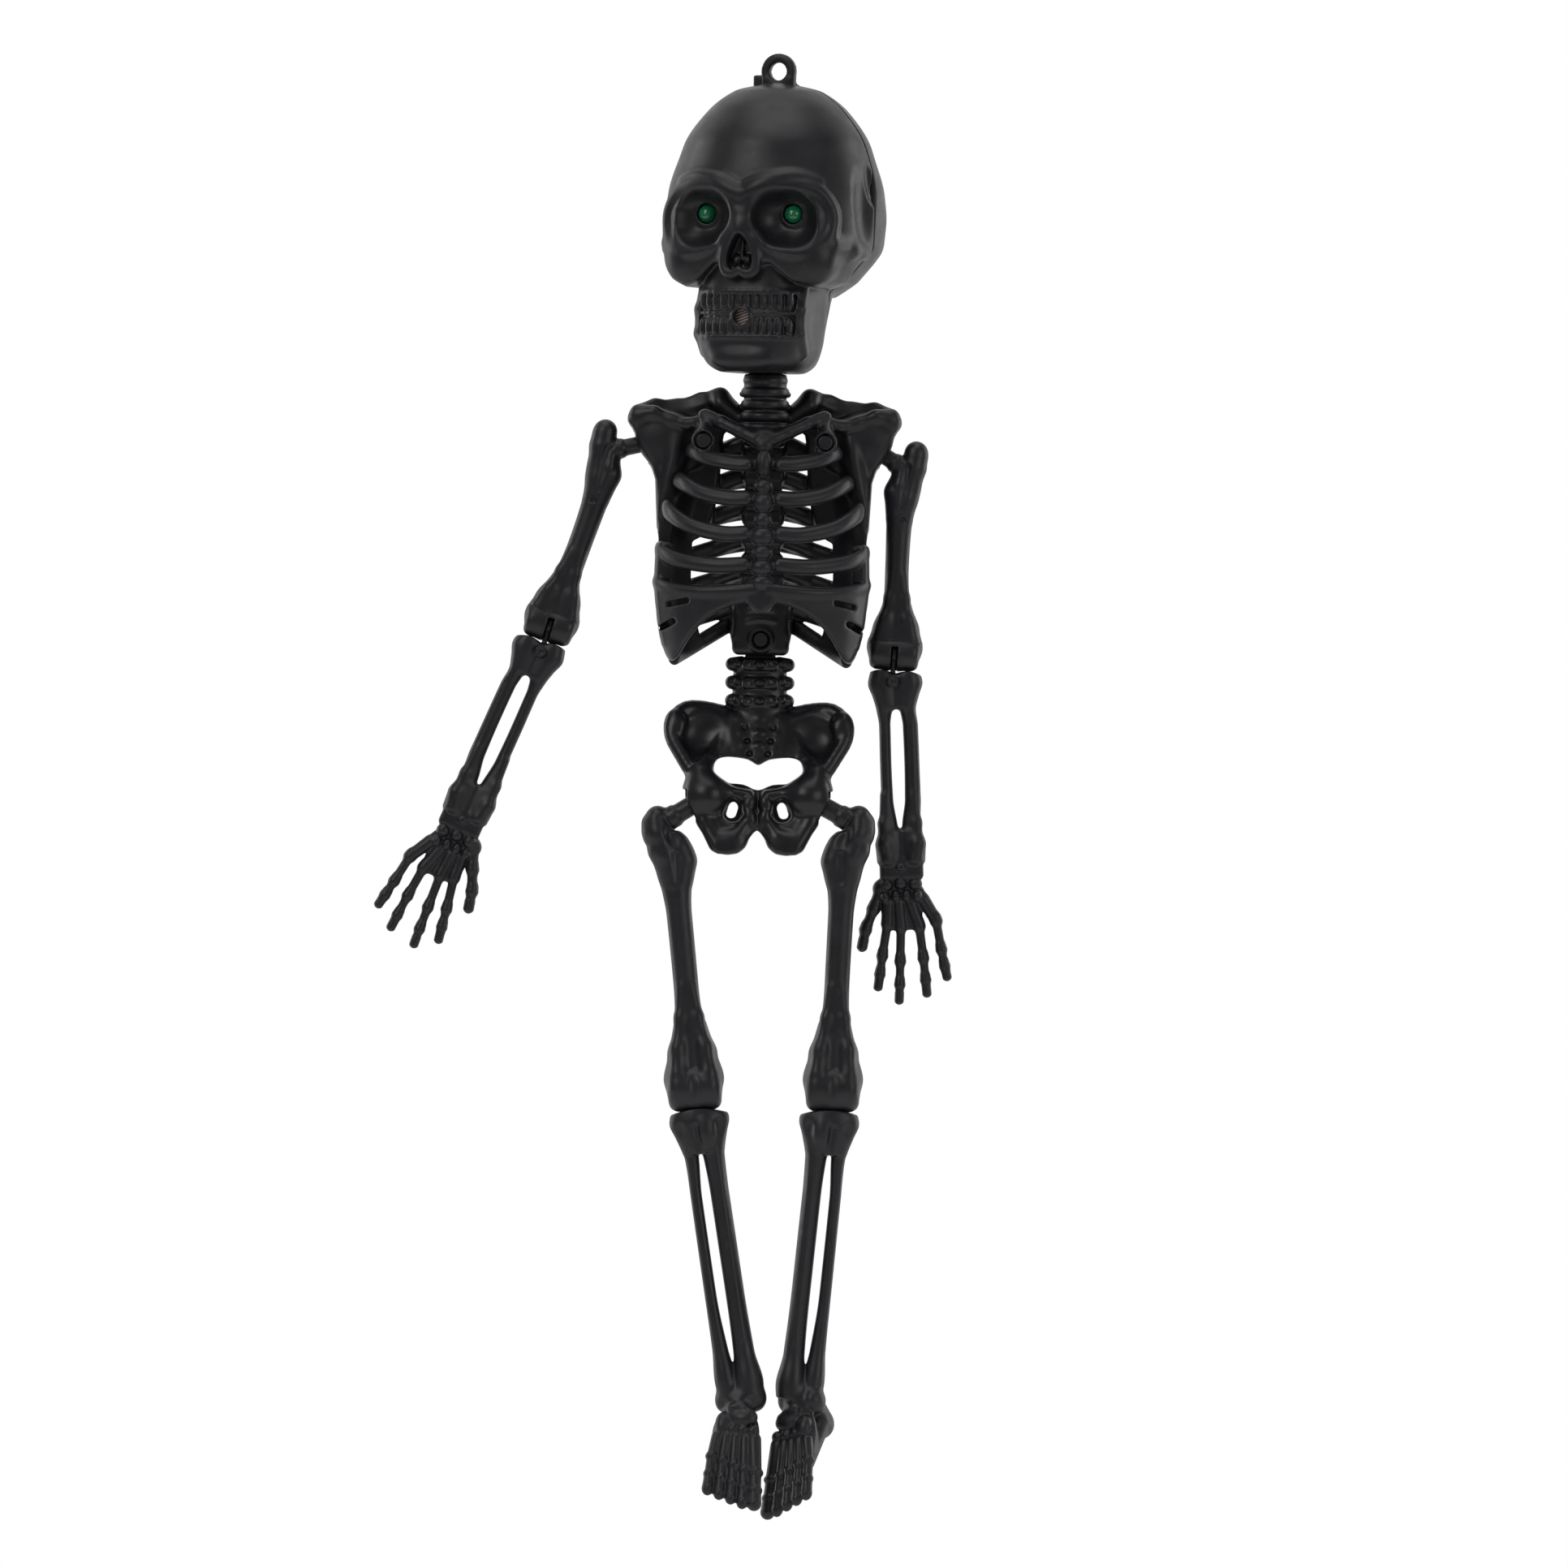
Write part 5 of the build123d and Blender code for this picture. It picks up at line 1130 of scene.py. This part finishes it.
def hinge_cup(bone, hinge, radius):
    """The lower bone's hollow head, with the tongue and trunnions that turn in the upper bone."""
    x, y, z = hinge
    bone.cut(drum((x - SWEEP_HALF, y, z), (x + SWEEP_HALF, y, z), radius + HINGE_GAP), 0.45)
    hub, low = radius - HUB_SINK, radius + 1.2
    bone.add(drum((x - TONGUE_HALF, y, z), (x + TONGUE_HALF, y, z), hub))
    bone.add(drum((x - TONGUE_HALF - 1.5, y, z), (x + TONGUE_HALF + 1.5, y, z), TRUNNION_R))
    bone.add(block((x, y, z - low / 2), (TONGUE_HALF, NECK_HALF, low / 2)))


def peg(bone, down, radius, end):
    slope = math.radians(down)
    way = Vector((math.cos(slope), 0, -math.sin(slope)))
    bone.add(drum(way * (0.45 - BALL_R), way * (BALL_R + 0.8), 0.94, 0.1))
    bone.add(drum(way * (BALL_R + 0.2), way * end, radius, 0.15))
    bone.add(drum(way * (end - 1.6), way * end, radius + 0.22, 0.3), 0.6)


def humerus():
    bone = Clay((-3.0, -4.2, -38.2), (13.2, 4.2, 2.6), LIMB_STEP)
    bone.add(shaft([(-4.2, 7.4, 0, 2.0, 1.8), (-7.4, 6.7, 0, 2.75, 1.9), (-12.0, 6.4, 0, 2.15, 1.9),
                    (-20.0, 6.6, 0, 1.95, 1.9), (-25.5, 6.9, 0, 2.05, 1.9), (-28.5, 7.05, 0, 2.9, 2.1),
                    (-32.2, 7.2, 0, 4.15, 2.45)]), 0.3)
    # long head with a groove running down its middle
    bone.chain([(8.3, 0, -0.9), (8.1, 0, -3.4), (7.0, 0, -8.6), (6.6, 0, -12.0)], (1.75, 2.0, 1.9, 1.7), 0.8)
    bone.chain([(5.6, 0, -5.4), (5.3, 0, -7.6), (5.9, 0, -11.6)], (1.1, 1.4, 1.3), 1.1)
    bone.add(egg((8.4, 0, -1.4), (1.95, 1.9, 2.2)), 0.6)
    peg(bone, PEG_DOWN["arm"], ARM_PEG_R, 7.0)
    for face in BOTH:
        bone.cut(rod((6.9, face * 2.45, -3.6), (6.5, face * 2.25, -10.6), 0.85, 0.35), 0.5)
        bone.chain([(6.1, face * 1.2, -4.0), (5.9, face * 1.35, -6.4), (6.1, face * 1.3, -9.6)], (0.3, 0.4, 0.3), 0.9)
        bone.cut(pin(6.9, -12.3, face * 1.55, face * 3.0, 0.62, 0.1), 0.15)
        for s in BOTH:
            bone.chain([(6.9 + s * 0.9, face * 1.0, -21.5), (7.0 + s * 1.3, face * 1.15, -25.0),
                        (7.1 + s * 1.9, face * 1.3, -28.6), (7.2 + s * 2.5, face * 1.35, -31.8)],
                       (0.3, 0.55, 0.85, 1.0), 1.1)
        bone.cut(rod((7.1, face * 2.6, -27.6), (7.2, face * 2.9, -32.4), 0.45, 0.7), 0.8)
    hinge_end(bone, ELBOW, ELBOW_R, ELBOW_HALF, 1.7, -1)
    return bone


# each digit's joints, seen from the front, from the elbow's front centre, thumb last
FINGERS = [
    [(-1.9, -36.4), (-2.6, -41.4), (-3.6, -46.6), (-4.1, -49.6), (-4.5, -51.9)],
    [(-0.5, -36.6), (-0.4, -42.0), (-0.7, -47.6), (-0.9, -51.4), (-1.1, -54.2)],
    [(1.1, -36.6), (2.6, -42.0), (3.1, -47.2), (3.35, -50.8), (3.5, -53.2)],
    [(2.7, -36.0), (5.4, -41.2), (6.1, -45.9), (6.55, -48.6), (6.9, -50.6)],
    [(-3.3, -34.9), (-4.8, -38.9), (-6.2, -42.2), (-6.9, -45.2)],
]
FINGER_R = 0.78


def digit(bone, points, radius, flare):
    """Waisted finger bones with flared joints and a blunt end."""
    points = [np.array((x, 0.0, z)) for x, z in points]
    for k, (a, b) in enumerate(zip(points, points[1:])):
        bone.add(rod(a, b, radius * (1.0 - 0.04 * k), radius * (0.97 - 0.04 * k)), 0.2)
    for k, (p, after) in enumerate(zip(points[1:], points[2:])):
        way = (after - p) / np.linalg.norm(after - p)
        swell = flare * (1.0 - 0.04 * k)
        bone.add(rod(p - way * 0.55, p + way * 0.15, swell * 0.92, swell), 0.45)
        bone.add(drum(p - way * 0.2, p + way * 0.5, swell, 0.25), 0.2)
    way = (points[-1] - points[-2]) / np.linalg.norm(points[-1] - points[-2])
    bone.add(drum(points[-1] - way * 1.6, points[-1] + way * 0.35, radius * 0.95, 0.3), 0.3)


def forearm_hand():
    """Two forearm bones and the open hand, from the elbow's front centre down."""
    arm = Clay((-9.6, -4.0, -56.0), (9.4, 4.0, 4.6), HAND_STEP)
    for s, half in ((-1, 0.95), (1, 1.25)):
        arm.add(shaft([(1.8, s * 1.9, 0, 1.7, 1.55), (-0.3, s * 2.2, 0, 1.95, 1.8), (-2.0, s * 2.35, 0, 2.15, 1.95),
                       (-4.2, s * 2.1, 0, 1.7, 1.8), (-6.4, s * 1.95, 0, 1.3, 1.5),
                       (-9.0, s * (1.0 + half), 0, half, 1.15), (-15.0, s * (1.05 + half), 0, half, 1.05),
                       (-21.0, s * (1.0 + half), 0, half * 1.05, 1.1), (-25.5, s * 1.7, 0, 1.35, 1.3),
                       (-29.0, s * 2.1, 0, 1.95, 1.6), (-31.6, s * 2.2, 0, 1.75, 1.6)]), 0.35)
    arm.add(block((0, 0, -3.4), (2.0, 1.5, 2.9), 0.6), 0.8)
    arm.add(block((0, 0, -28.9), (2.2, 1.2, 2.9), 0.6), 0.8)
    for face in BOTH:
        arm.cut(rod((-0.1, face * 2.0, -2.8), (0, face * 1.9, -6.6), 0.5, 0.6), 0.5)
        arm.cut(rod((0, face * 2.05, -25.5), (0, face * 2.1, -30.0), 0.8, 0.6), 0.6)
        for s in BOTH:
            arm.cut(rod((s * 1.1, face * 2.6, -3.4), (s * 1.3, face * 2.1, -8.0), 0.45, 0.3), 0.5)
            arm.cut(rod((s * 3.4, face * 2.6, -4.6), (s * 2.9, face * 1.9, -8.4), 0.5, 0.3), 0.5)
            arm.chain([(s * 2.5, face * 0.6, -20.5), (s * 2.8, face * 0.8, -25.0), (s * 2.9, face * 1.0, -28.4),
                       (s * 2.4, face * 1.1, -30.8)], (0.3, 0.55, 0.85, 0.85), 1.1)
    arm.add(pin(-0.4, -1.7, -2.0, -2.55, 0.95, 0.2), 0.15)
    arm.cut(pin(-0.4, -1.7, -2.35, -3.2, 0.55, 0.1), 0.1)
    # wrist: the gate mark, and two rows of small round bones
    arm.add(block((0, 0, -32.4), (3.6, 1.2, 1.9), 0.7), 0.5)
    arm.add(egg((-0.1, -1.3, -32.3), (0.85, 0.35, 0.62)), 0.08)
    arm.add(block((-0.1, 0, -35.6), (3.2, 0.75, 2.4), 0.6), 0.5)
    for count, z, wide in ((3, -34.9, 2.35), (4, -36.9, 1.75)):
        for i in range(count):
            x = -0.2 + (i - (count - 1) / 2) * wide
            z_here = z - 0.08 * abs(x)
            for face in BOTH:
                arm.add(egg((x, face * 0.55, z_here), (wide * 0.5, 1.15, 1.08)), 0.06)
    arm.add(block((0.3, 0, -39.6), (2.9, 0.5, 3.0), 0.4), 0.4)
    for points in FINGERS[:4]:
        x, z = points[0]
        arm.add(rod((x * 1.25, 0, z - 1.6), (points[1][0], 0, points[1][1]), 1.1, 1.0), 0.1)
        digit(arm, points, FINGER_R, 0.97)
    arm.add(egg((-3.5, 0, -35.6), (1.35, 1.15, 1.5), (0, 20, 0)), 0.4)
    digit(arm, FINGERS[4], 0.9, 1.08)
    return arm


def place_clay(source, matrix, low, high, step):
    """The same shape on a new grid, turned by a matrix that takes source points to the new ones."""
    target = Clay(low, high, step)
    back = np.array(matrix.inverted())
    x, y, z = np.ix_(*target.axes)
    index = [(row[0] * x + row[1] * y + row[2] * z + row[3] - start) / source.step
             for row, start in zip(back[:3], source.low)]
    inside = np.ones(target.field.shape, bool)
    cells, parts = [], []
    for i, size in zip(index, source.field.shape):
        inside &= (i >= 0) & (i < size - 1)
        cell = np.clip(np.floor(i), 0, size - 2).astype(np.int32)
        cells.append(cell)
        parts.append(np.clip(i - cell, 0, 1))
    value = 0
    for dx in (0, 1):
        for dy in (0, 1):
            for dz in (0, 1):
                weight = ((parts[0] if dx else 1 - parts[0]) * (parts[1] if dy else 1 - parts[1])
                          * (parts[2] if dz else 1 - parts[2]))
                value = value + weight * source.field[cells[0] + dx, cells[1] + dy, cells[2] + dz]
    target.field = np.where(inside, value, OFF_GRID).astype(np.float32)
    return target


def femur():
    bone = Clay((-3.0, -5.2, -53.0), (12.4, 5.2, 0.6), LIMB_STEP)
    bone.add(shaft([(-5.4, 7.2, 0, 2.4, 2.0), (-8.8, 6.2, 0, 3.45, 2.2), (-12.4, 5.9, 0, 3.1, 2.2),
                    (-15.5, 5.85, 0, 2.4, 2.1), (-19.0, 5.7, 0, 2.1, 2.0), (-30.0, 5.3, 0, 2.05, 2.0),
                    (-36.0, 5.15, 0, 2.2, 2.1), (-41.0, 5.0, 0, 3.2, 2.6), (-45.6, 4.9, 0, 4.3, 3.0)]), 0.3)
    bone.chain([(8.3, 0, -3.1), (8.5, 0, -5.2), (7.9, 0, -8.4), (6.5, 0, -12.0)], (2.0, 2.35, 2.2, 1.9), 0.7)
    bone.chain([(9.4, 0, -3.9), (9.3, 0, -6.2)], (1.6, 1.5), 0.5)
    bone.chain([(4.9, 0, -7.4), (4.2, 0, -10.4), (5.0, 0, -13.4)], (1.2, 1.5, 1.3), 1.2)
    peg(bone, PEG_DOWN["leg"], LEG_PEG_R, 7.4)
    for face in BOTH:
        bone.chain([(8.6, face * 1.2, -3.4), (8.2, face * 1.4, -6.0), (7.3, face * 1.4, -9.4),
                    (6.2, face * 1.2, -14.0)], (0.8, 0.9, 0.7, 0.5), 1.3)
        bone.cut(egg((6.0, face * 2.6, -6.2), (0.8, 1.0, 1.8), (0, 24, 0)), 0.9)
        bone.cut(rod((5.4, face * 2.6, -9.4), (5.6, face * 2.5, -13.6), 0.45, 0.3), 0.9)
        for s in BOTH:
            bone.chain([(5.2 + s * 0.9, face * 1.2, -31.0), (5.1 + s * 1.5, face * 1.4, -36.0),
                        (5.0 + s * 2.3, face * 1.9, -41.0), (4.9 + s * 2.6, face * 2.3, -45.0)],
                       (0.3, 0.6, 0.95, 1.3), 1.3)
        bone.cut(rod((5.0, face * 3.1, -39.6), (4.9, face * 3.6, -45.0), 0.6, 0.9), 0.9)
    hinge_end(bone, KNEE, KNEE_R, KNEE_HALF, 2.5, 1)
    return bone


TOES, TOE_PITCH, FOOT_LENGTH = 5, 1.93, 21.0


def foot(leg, side):
    """A foot pointing down from the ankle: heel, ankle bones, instep and five toes, the big toe innermost."""
    turn = (Matrix.Translation((0, 0, ANKLE_DOWN)) @ Matrix.Rotation(math.radians(-FOOT_TURN[side]), 4, "Y")
            @ Matrix.Rotation(math.radians(-FOOT_YAW[side]), 4, "Z"))
    angles = [math.degrees(a) for a in turn.to_euler()]
    slope = math.radians(FOOT_SLOPE)

    def at(x, along, out=0.0):
        """A point on the foot: across, down its length and out of its instep."""
        return turn @ Vector((x, -along * math.sin(slope) - out * math.cos(slope),
                              -along * math.cos(slope) + out * math.sin(slope)))

    def ankle(x, y, z):
        return turn @ Vector((x, y, z))

    tilt = [math.degrees(a) for a in (turn.to_3x3() @ Matrix.Rotation(-slope, 3, "X")).to_euler()]
    # ankle, heel and sole
    leg.add(egg(ankle(-2.5, 0.4, -0.6), (1.9, 2.3, 2.2), angles), 0.6)
    leg.add(egg(ankle(2.6, 0.6, -1.0), (1.5, 2.0, 2.1), angles), 0.6)
    leg.add(egg(ankle(0, 0.4, -1.2), (2.9, 2.5, 2.4), angles), 0.7)
    leg.chain([ankle(0.2, 1.6, -1.0), ankle(0.4, 3.2, -4.6)], (2.3, 2.3), 0.8)
    leg.add(egg(ankle(0.4, 3.2, -5.4), (2.3, 2.3, 2.2), angles), 0.7)
    leg.chain([ankle(1.4, 2.0, -5.0), at(2.4, 11.5, -0.9)], (1.8, 1.1), 0.8)
    # instep: a sloping neck, one large smooth bone, a row of small ones, then long bones joined by a web
    leg.chain([at(-0.2, -0.5, -0.2), at(-0.2, 4.0, -0.1)], (2.4, 2.2), 0.8)
    leg.add(egg(at(0.1, 7.2, -0.4), (3.9, 1.7, 5.4), tilt), 0.8)
    leg.add(egg(at(-1.3, 4.6, 1.2), (2.2, 1.1, 1.6), tilt), 0.15)
    leg.chain([at(x, 2.9 + 0.2 * x * x, 1.75) for x in (-2.2, -1.1, 0.0, 1.1)], 0.5, 0.5)
    leg.add(egg(at(2.2, 5.6, 0.7), (1.3, 1.1, 2.0), tilt), 0.3)
    for i in range(4):
        leg.add(egg(at(-2.9 + 1.75 * i, 7.0 - 0.2 * i, 1.25 - 0.2 * i), (0.98, 0.85, 1.0), tilt), 0.08)
    lines = []
    for i in range(TOES):
        across = (i - (TOES - 1) / 2) * TOE_PITCH - 0.1
        length = FOOT_LENGTH - 0.75 * i if i else FOOT_LENGTH - 0.3
        radius = 1.2 if i == 0 else 0.98
        joints = ((0.80, 8.3 - 0.1 * i, 0.75), (0.96, length - 6.6, 0.55), (1.0, length - 3.5, 0.5),
                  (1.02, length - radius, 0.45))
        line = [(across * spread, along, out - 0.05 * i) for spread, along, out in joints]
        lines.append(line)
        points = [at(*p) for p in line]
        for (a, b), (ra, rb) in zip(zip(points, points[1:]), ((0.95, 0.86), (0.84, 0.84), (0.88, 0.98))):
            leg.add(rod(a, b, radius * ra, radius * rb), 0.12)
        for p, swell in zip(points[1:3], (1.12, 1.06)):
            leg.add(egg(p, (radius * swell, radius * swell, 0.85), tilt), 0.15)
        leg.add(egg(points[3], (radius, radius * 0.95, 1.25), tilt), 0.15)
        x, along, out = line[3]
        leg.cut(rod(at(x - 0.5, along - 0.5, out + radius * 1.15),
                    at(x + 0.5, along - 0.5, out + radius * 1.15), 0.25), 0.2)
    for line, beside in zip(lines, lines[1:]):
        web = [tuple((a + b) / 2 for a, b in zip(p, q)) for p, q in zip(line, beside)]
        leg.chain([at(x, along, out - 0.25) for x, along, out in web], (0.7, 0.65, 0.6, 0.5), 0.1)


def shank_foot(side):
    """Shin bone, calf bone and foot, from the knee's front centre down."""
    leg = Clay((-9.6, -14.2, -71.0), (9.6, 6.6, 4.2), LIMB_STEP)
    leg.add(shaft([(2.3, 0, 0, 3.7, 2.3), (0.7, 0, 0, 4.3, 2.6), (-1.6, 0, 0, 4.95, 2.9), (-3.8, 0, 0, 4.3, 2.7),
                   (-7.0, 0, 0, 3.3, 2.2)]), 0.4)
    leg.add(shaft([(-4.0, -1.4, 0, 2.4, 2.3), (-8.0, -1.55, 0, 1.75, 1.85), (-14.0, -1.6, 0, 1.55, 1.6),
                   (-30.0, -1.65, 0, 1.55, 1.6), (-40.0, -1.7, 0, 1.75, 1.8), (-45.0, -1.7, 0, 2.5, 2.5),
                   (-47.4, -1.5, 0, 2.4, 2.5)]), 0.3)
    leg.add(shaft([(-4.0, 2.2, 0, 1.6, 1.7), (-8.0, 2.1, 0, 1.15, 1.3), (-14.0, 2.3, 0, 0.95, 1.05),
                   (-30.0, 2.35, 0, 0.98, 1.05), (-39.0, 2.1, 0, 1.3, 1.4), (-44.6, 1.9, 0, 1.85, 2.0),
                   (-47.4, 1.7, 0, 1.8, 2.0)]), 0.3)
    for face in BOTH:
        leg.add(egg((-0.9, face * 2.2, -3.2), (1.5, 1.1, 2.6)), 0.6)
        leg.cut(rod((0.75, face * 2.9, -2.6), (0.45, face * 2.3, -7.4), 0.5, 0.4), 0.5)
        leg.cut(rod((0.45, face * 2.3, -38.5), (0.3, face * 2.7, -45.0), 0.5, 0.5), 0.5)
        for s in BOTH:
            leg.cut(egg((s * 3.9, face * 2.5, -3.4), (1.0, 0.9, 1.9), (0, -s * 22, 0)), 0.6)
    leg.chain([(-2.0, -1.2, -7.0), (-1.9, -1.15, -20.0), (-1.8, -1.2, -38.0)], (0.55, 0.5, 0.55), 0.4)
    foot(leg, side)
    return leg


def lower_bone(clay, hinge, radius, angle, low, high):
    """A lower bone turned under its hinge, in the upper bone's frame, with its cup and tongue."""
    place = (Matrix.Translation(hinge) @ Matrix.Rotation(math.radians(-angle), 4, "Y")
             @ Matrix.Translation((0, 0, -radius)))
    bone = place_clay(clay, place, low, high, clay.step)
    hinge_cup(bone, hinge, radius)
    return bone


def build_limbs():
    """The arm bones are the same on both sides; the feet stand at their own angles."""
    upper_arm, thigh = humerus(), femur()
    forearm = lower_bone(forearm_hand(), ELBOW, ELBOW_R, FOREARM_ANGLE, (-1.6, -4.0, -94.0), (24.0, 4.0, -29.0))
    for side, s in SIDES.items():
        shank = lower_bone(shank_foot(side), KNEE, KNEE_R, SHANK_ANGLE, (-12.0, -14.4, -122.0), (13.0, 6.6, -41.0))
        arm = limb_place(side, "shoulder_tilt", "elbow", ELBOW, -1)
        leg = limb_place(side, "hip_tilt", "knee", KNEE, 1)
        for node, body, clay, place, share in (("humerus", "upper_arm", upper_arm, arm, 0.7),
                                               ("forearm_hand", "forearm", forearm, arm, 0.6),
                                               ("femur", "thigh", thigh, leg, 0.7),
                                               ("shank_foot", "shank", shank, leg, 0.6)):
            cast(clay, f"{node}_{side}", f"{body}_{side}", "black_plastic", place, share, mirror=s < 0)


# ---- stage, light and camera --------------------------------------------------------------------------
VIEW_WIDTH = 0.2576  # how much of the figure's plane the picture shows
VIEW_CENTRE = Vector((0.0030, 0.0, -0.1170))
VIEW_DISTANCE = 2.6
VIEW_ROLL = 1.08
FLOOR_GAP, FLOOR_R, FLOOR_SIDES = 0.045, 0.5, 96
WORLD_FRONT, WORLD_BACK = 0.16, 0.9


def area_light(name, place, aim, size, power, size_y=None):
    light = bpy.data.lights.new(name, "AREA")
    light.shape = "RECTANGLE"
    light.size, light.size_y, light.energy = size, size_y or size, power
    lamp = link(name, light)
    lamp.location = place
    lamp.rotation_euler = (Vector(aim) - Vector(place)).to_track_quat("-Z", "Y").to_euler()


def build_stage():
    """A round sheet of pale paper under the figure, below the photo's view."""
    low, _ = CAD_BOX
    mesh = bpy.data.meshes.new("floor")
    turns = [2 * math.pi * i / FLOOR_SIDES for i in range(FLOOR_SIDES)]
    mesh.from_pydata([(FLOOR_R * math.cos(a), FLOOR_R * math.sin(a), low[2] - FLOOR_GAP) for a in turns], [],
                     [tuple(range(FLOOR_SIDES))])
    paper = Nodes("floor_paper")
    paper.set("Base Color", paper.mix(paper.ramp(paper.noise(900.0), 0, 1), (0.86, 0.86, 0.865), (0.90, 0.90, 0.90)))
    paper.set("Roughness", 0.9)
    mesh.materials.append(paper.material)
    link("floor", mesh)


def build_world():
    """White all round for the eye; as light, brighter behind the figure than in front of it."""
    world = bpy.data.worlds.new("studio")
    bpy.context.scene.world = world
    world.use_nodes = True
    tree = world.node_tree
    way = tree.nodes.new("ShaderNodeTexCoord").outputs["Generated"]
    axes = tree.nodes.new("ShaderNodeSeparateXYZ")
    tree.links.new(way, axes.inputs[0])
    glow = tree.nodes.new("ShaderNodeMapRange")
    tree.links.new(axes.outputs["Y"], glow.inputs["Value"])
    for key, value in (("From Min", 0.15), ("From Max", 0.6), ("To Min", WORLD_FRONT), ("To Max", WORLD_BACK)):
        glow.inputs[key].default_value = value
    eye = tree.nodes.new("ShaderNodeMix")
    tree.links.new(tree.nodes.new("ShaderNodeLightPath").outputs["Is Camera Ray"], eye.inputs["Factor"])
    tree.links.new(glow.outputs["Result"], eye.inputs["A"])
    eye.inputs["B"].default_value = 1.0
    sky = tree.nodes["Background"]
    sky.inputs["Color"].default_value = (1.0, 1.0, 1.0, 1.0)
    tree.links.new(eye.outputs["Result"], sky.inputs["Strength"])


def build_lights():
    build_world()
    area_light("key", (-0.9, -1.3, 0.9), (0, 0, -0.08), 0.9, 6.5)
    area_light("fill", (1.1, -1.1, 0.2), (0, 0, -0.12), 0.8, 3)
    area_light("top", (0.0, -0.2, 1.1), (0, 0, -0.1), 1.0, 4.5)
    for side in BOTH:
        area_light(f"edge_{side}", (side * 0.9, 0.35, 0.05), (0, 0, -0.1), 0.35, 2.2, 0.9)
    bpy.context.scene.view_settings.view_transform = "Standard"


def build_camera():
    camera = bpy.data.cameras.new("camera")
    camera.sensor_width = 36.0
    camera.lens = camera.sensor_width * VIEW_DISTANCE / VIEW_WIDTH
    camera.clip_start, camera.clip_end = 0.05, 20
    view = link("camera", camera)
    view.matrix_world = (Matrix.Translation(VIEW_CENTRE - Vector((0, VIEW_DISTANCE, 0)))
                         @ Matrix.Rotation(math.pi / 2, 4, "X") @ Matrix.Rotation(math.radians(VIEW_ROLL), 4, "Z"))
    bpy.context.scene.camera = view


def dress_cad_nodes():
    """Materials for the CAD nodes that stay as they are."""
    for row in frame["record"]["subparts"]:
        node = frame["nodes"][row["node"]]
        node.data.materials.clear()
        node.data.materials.append(MATERIALS[row["material_slot"]])
        for polygon in node.data.polygons:
            polygon.use_smooth = True


dress_cad_nodes()
build_skull()
build_trunk()
build_limbs()
build_stage()
build_lights()
build_camera()
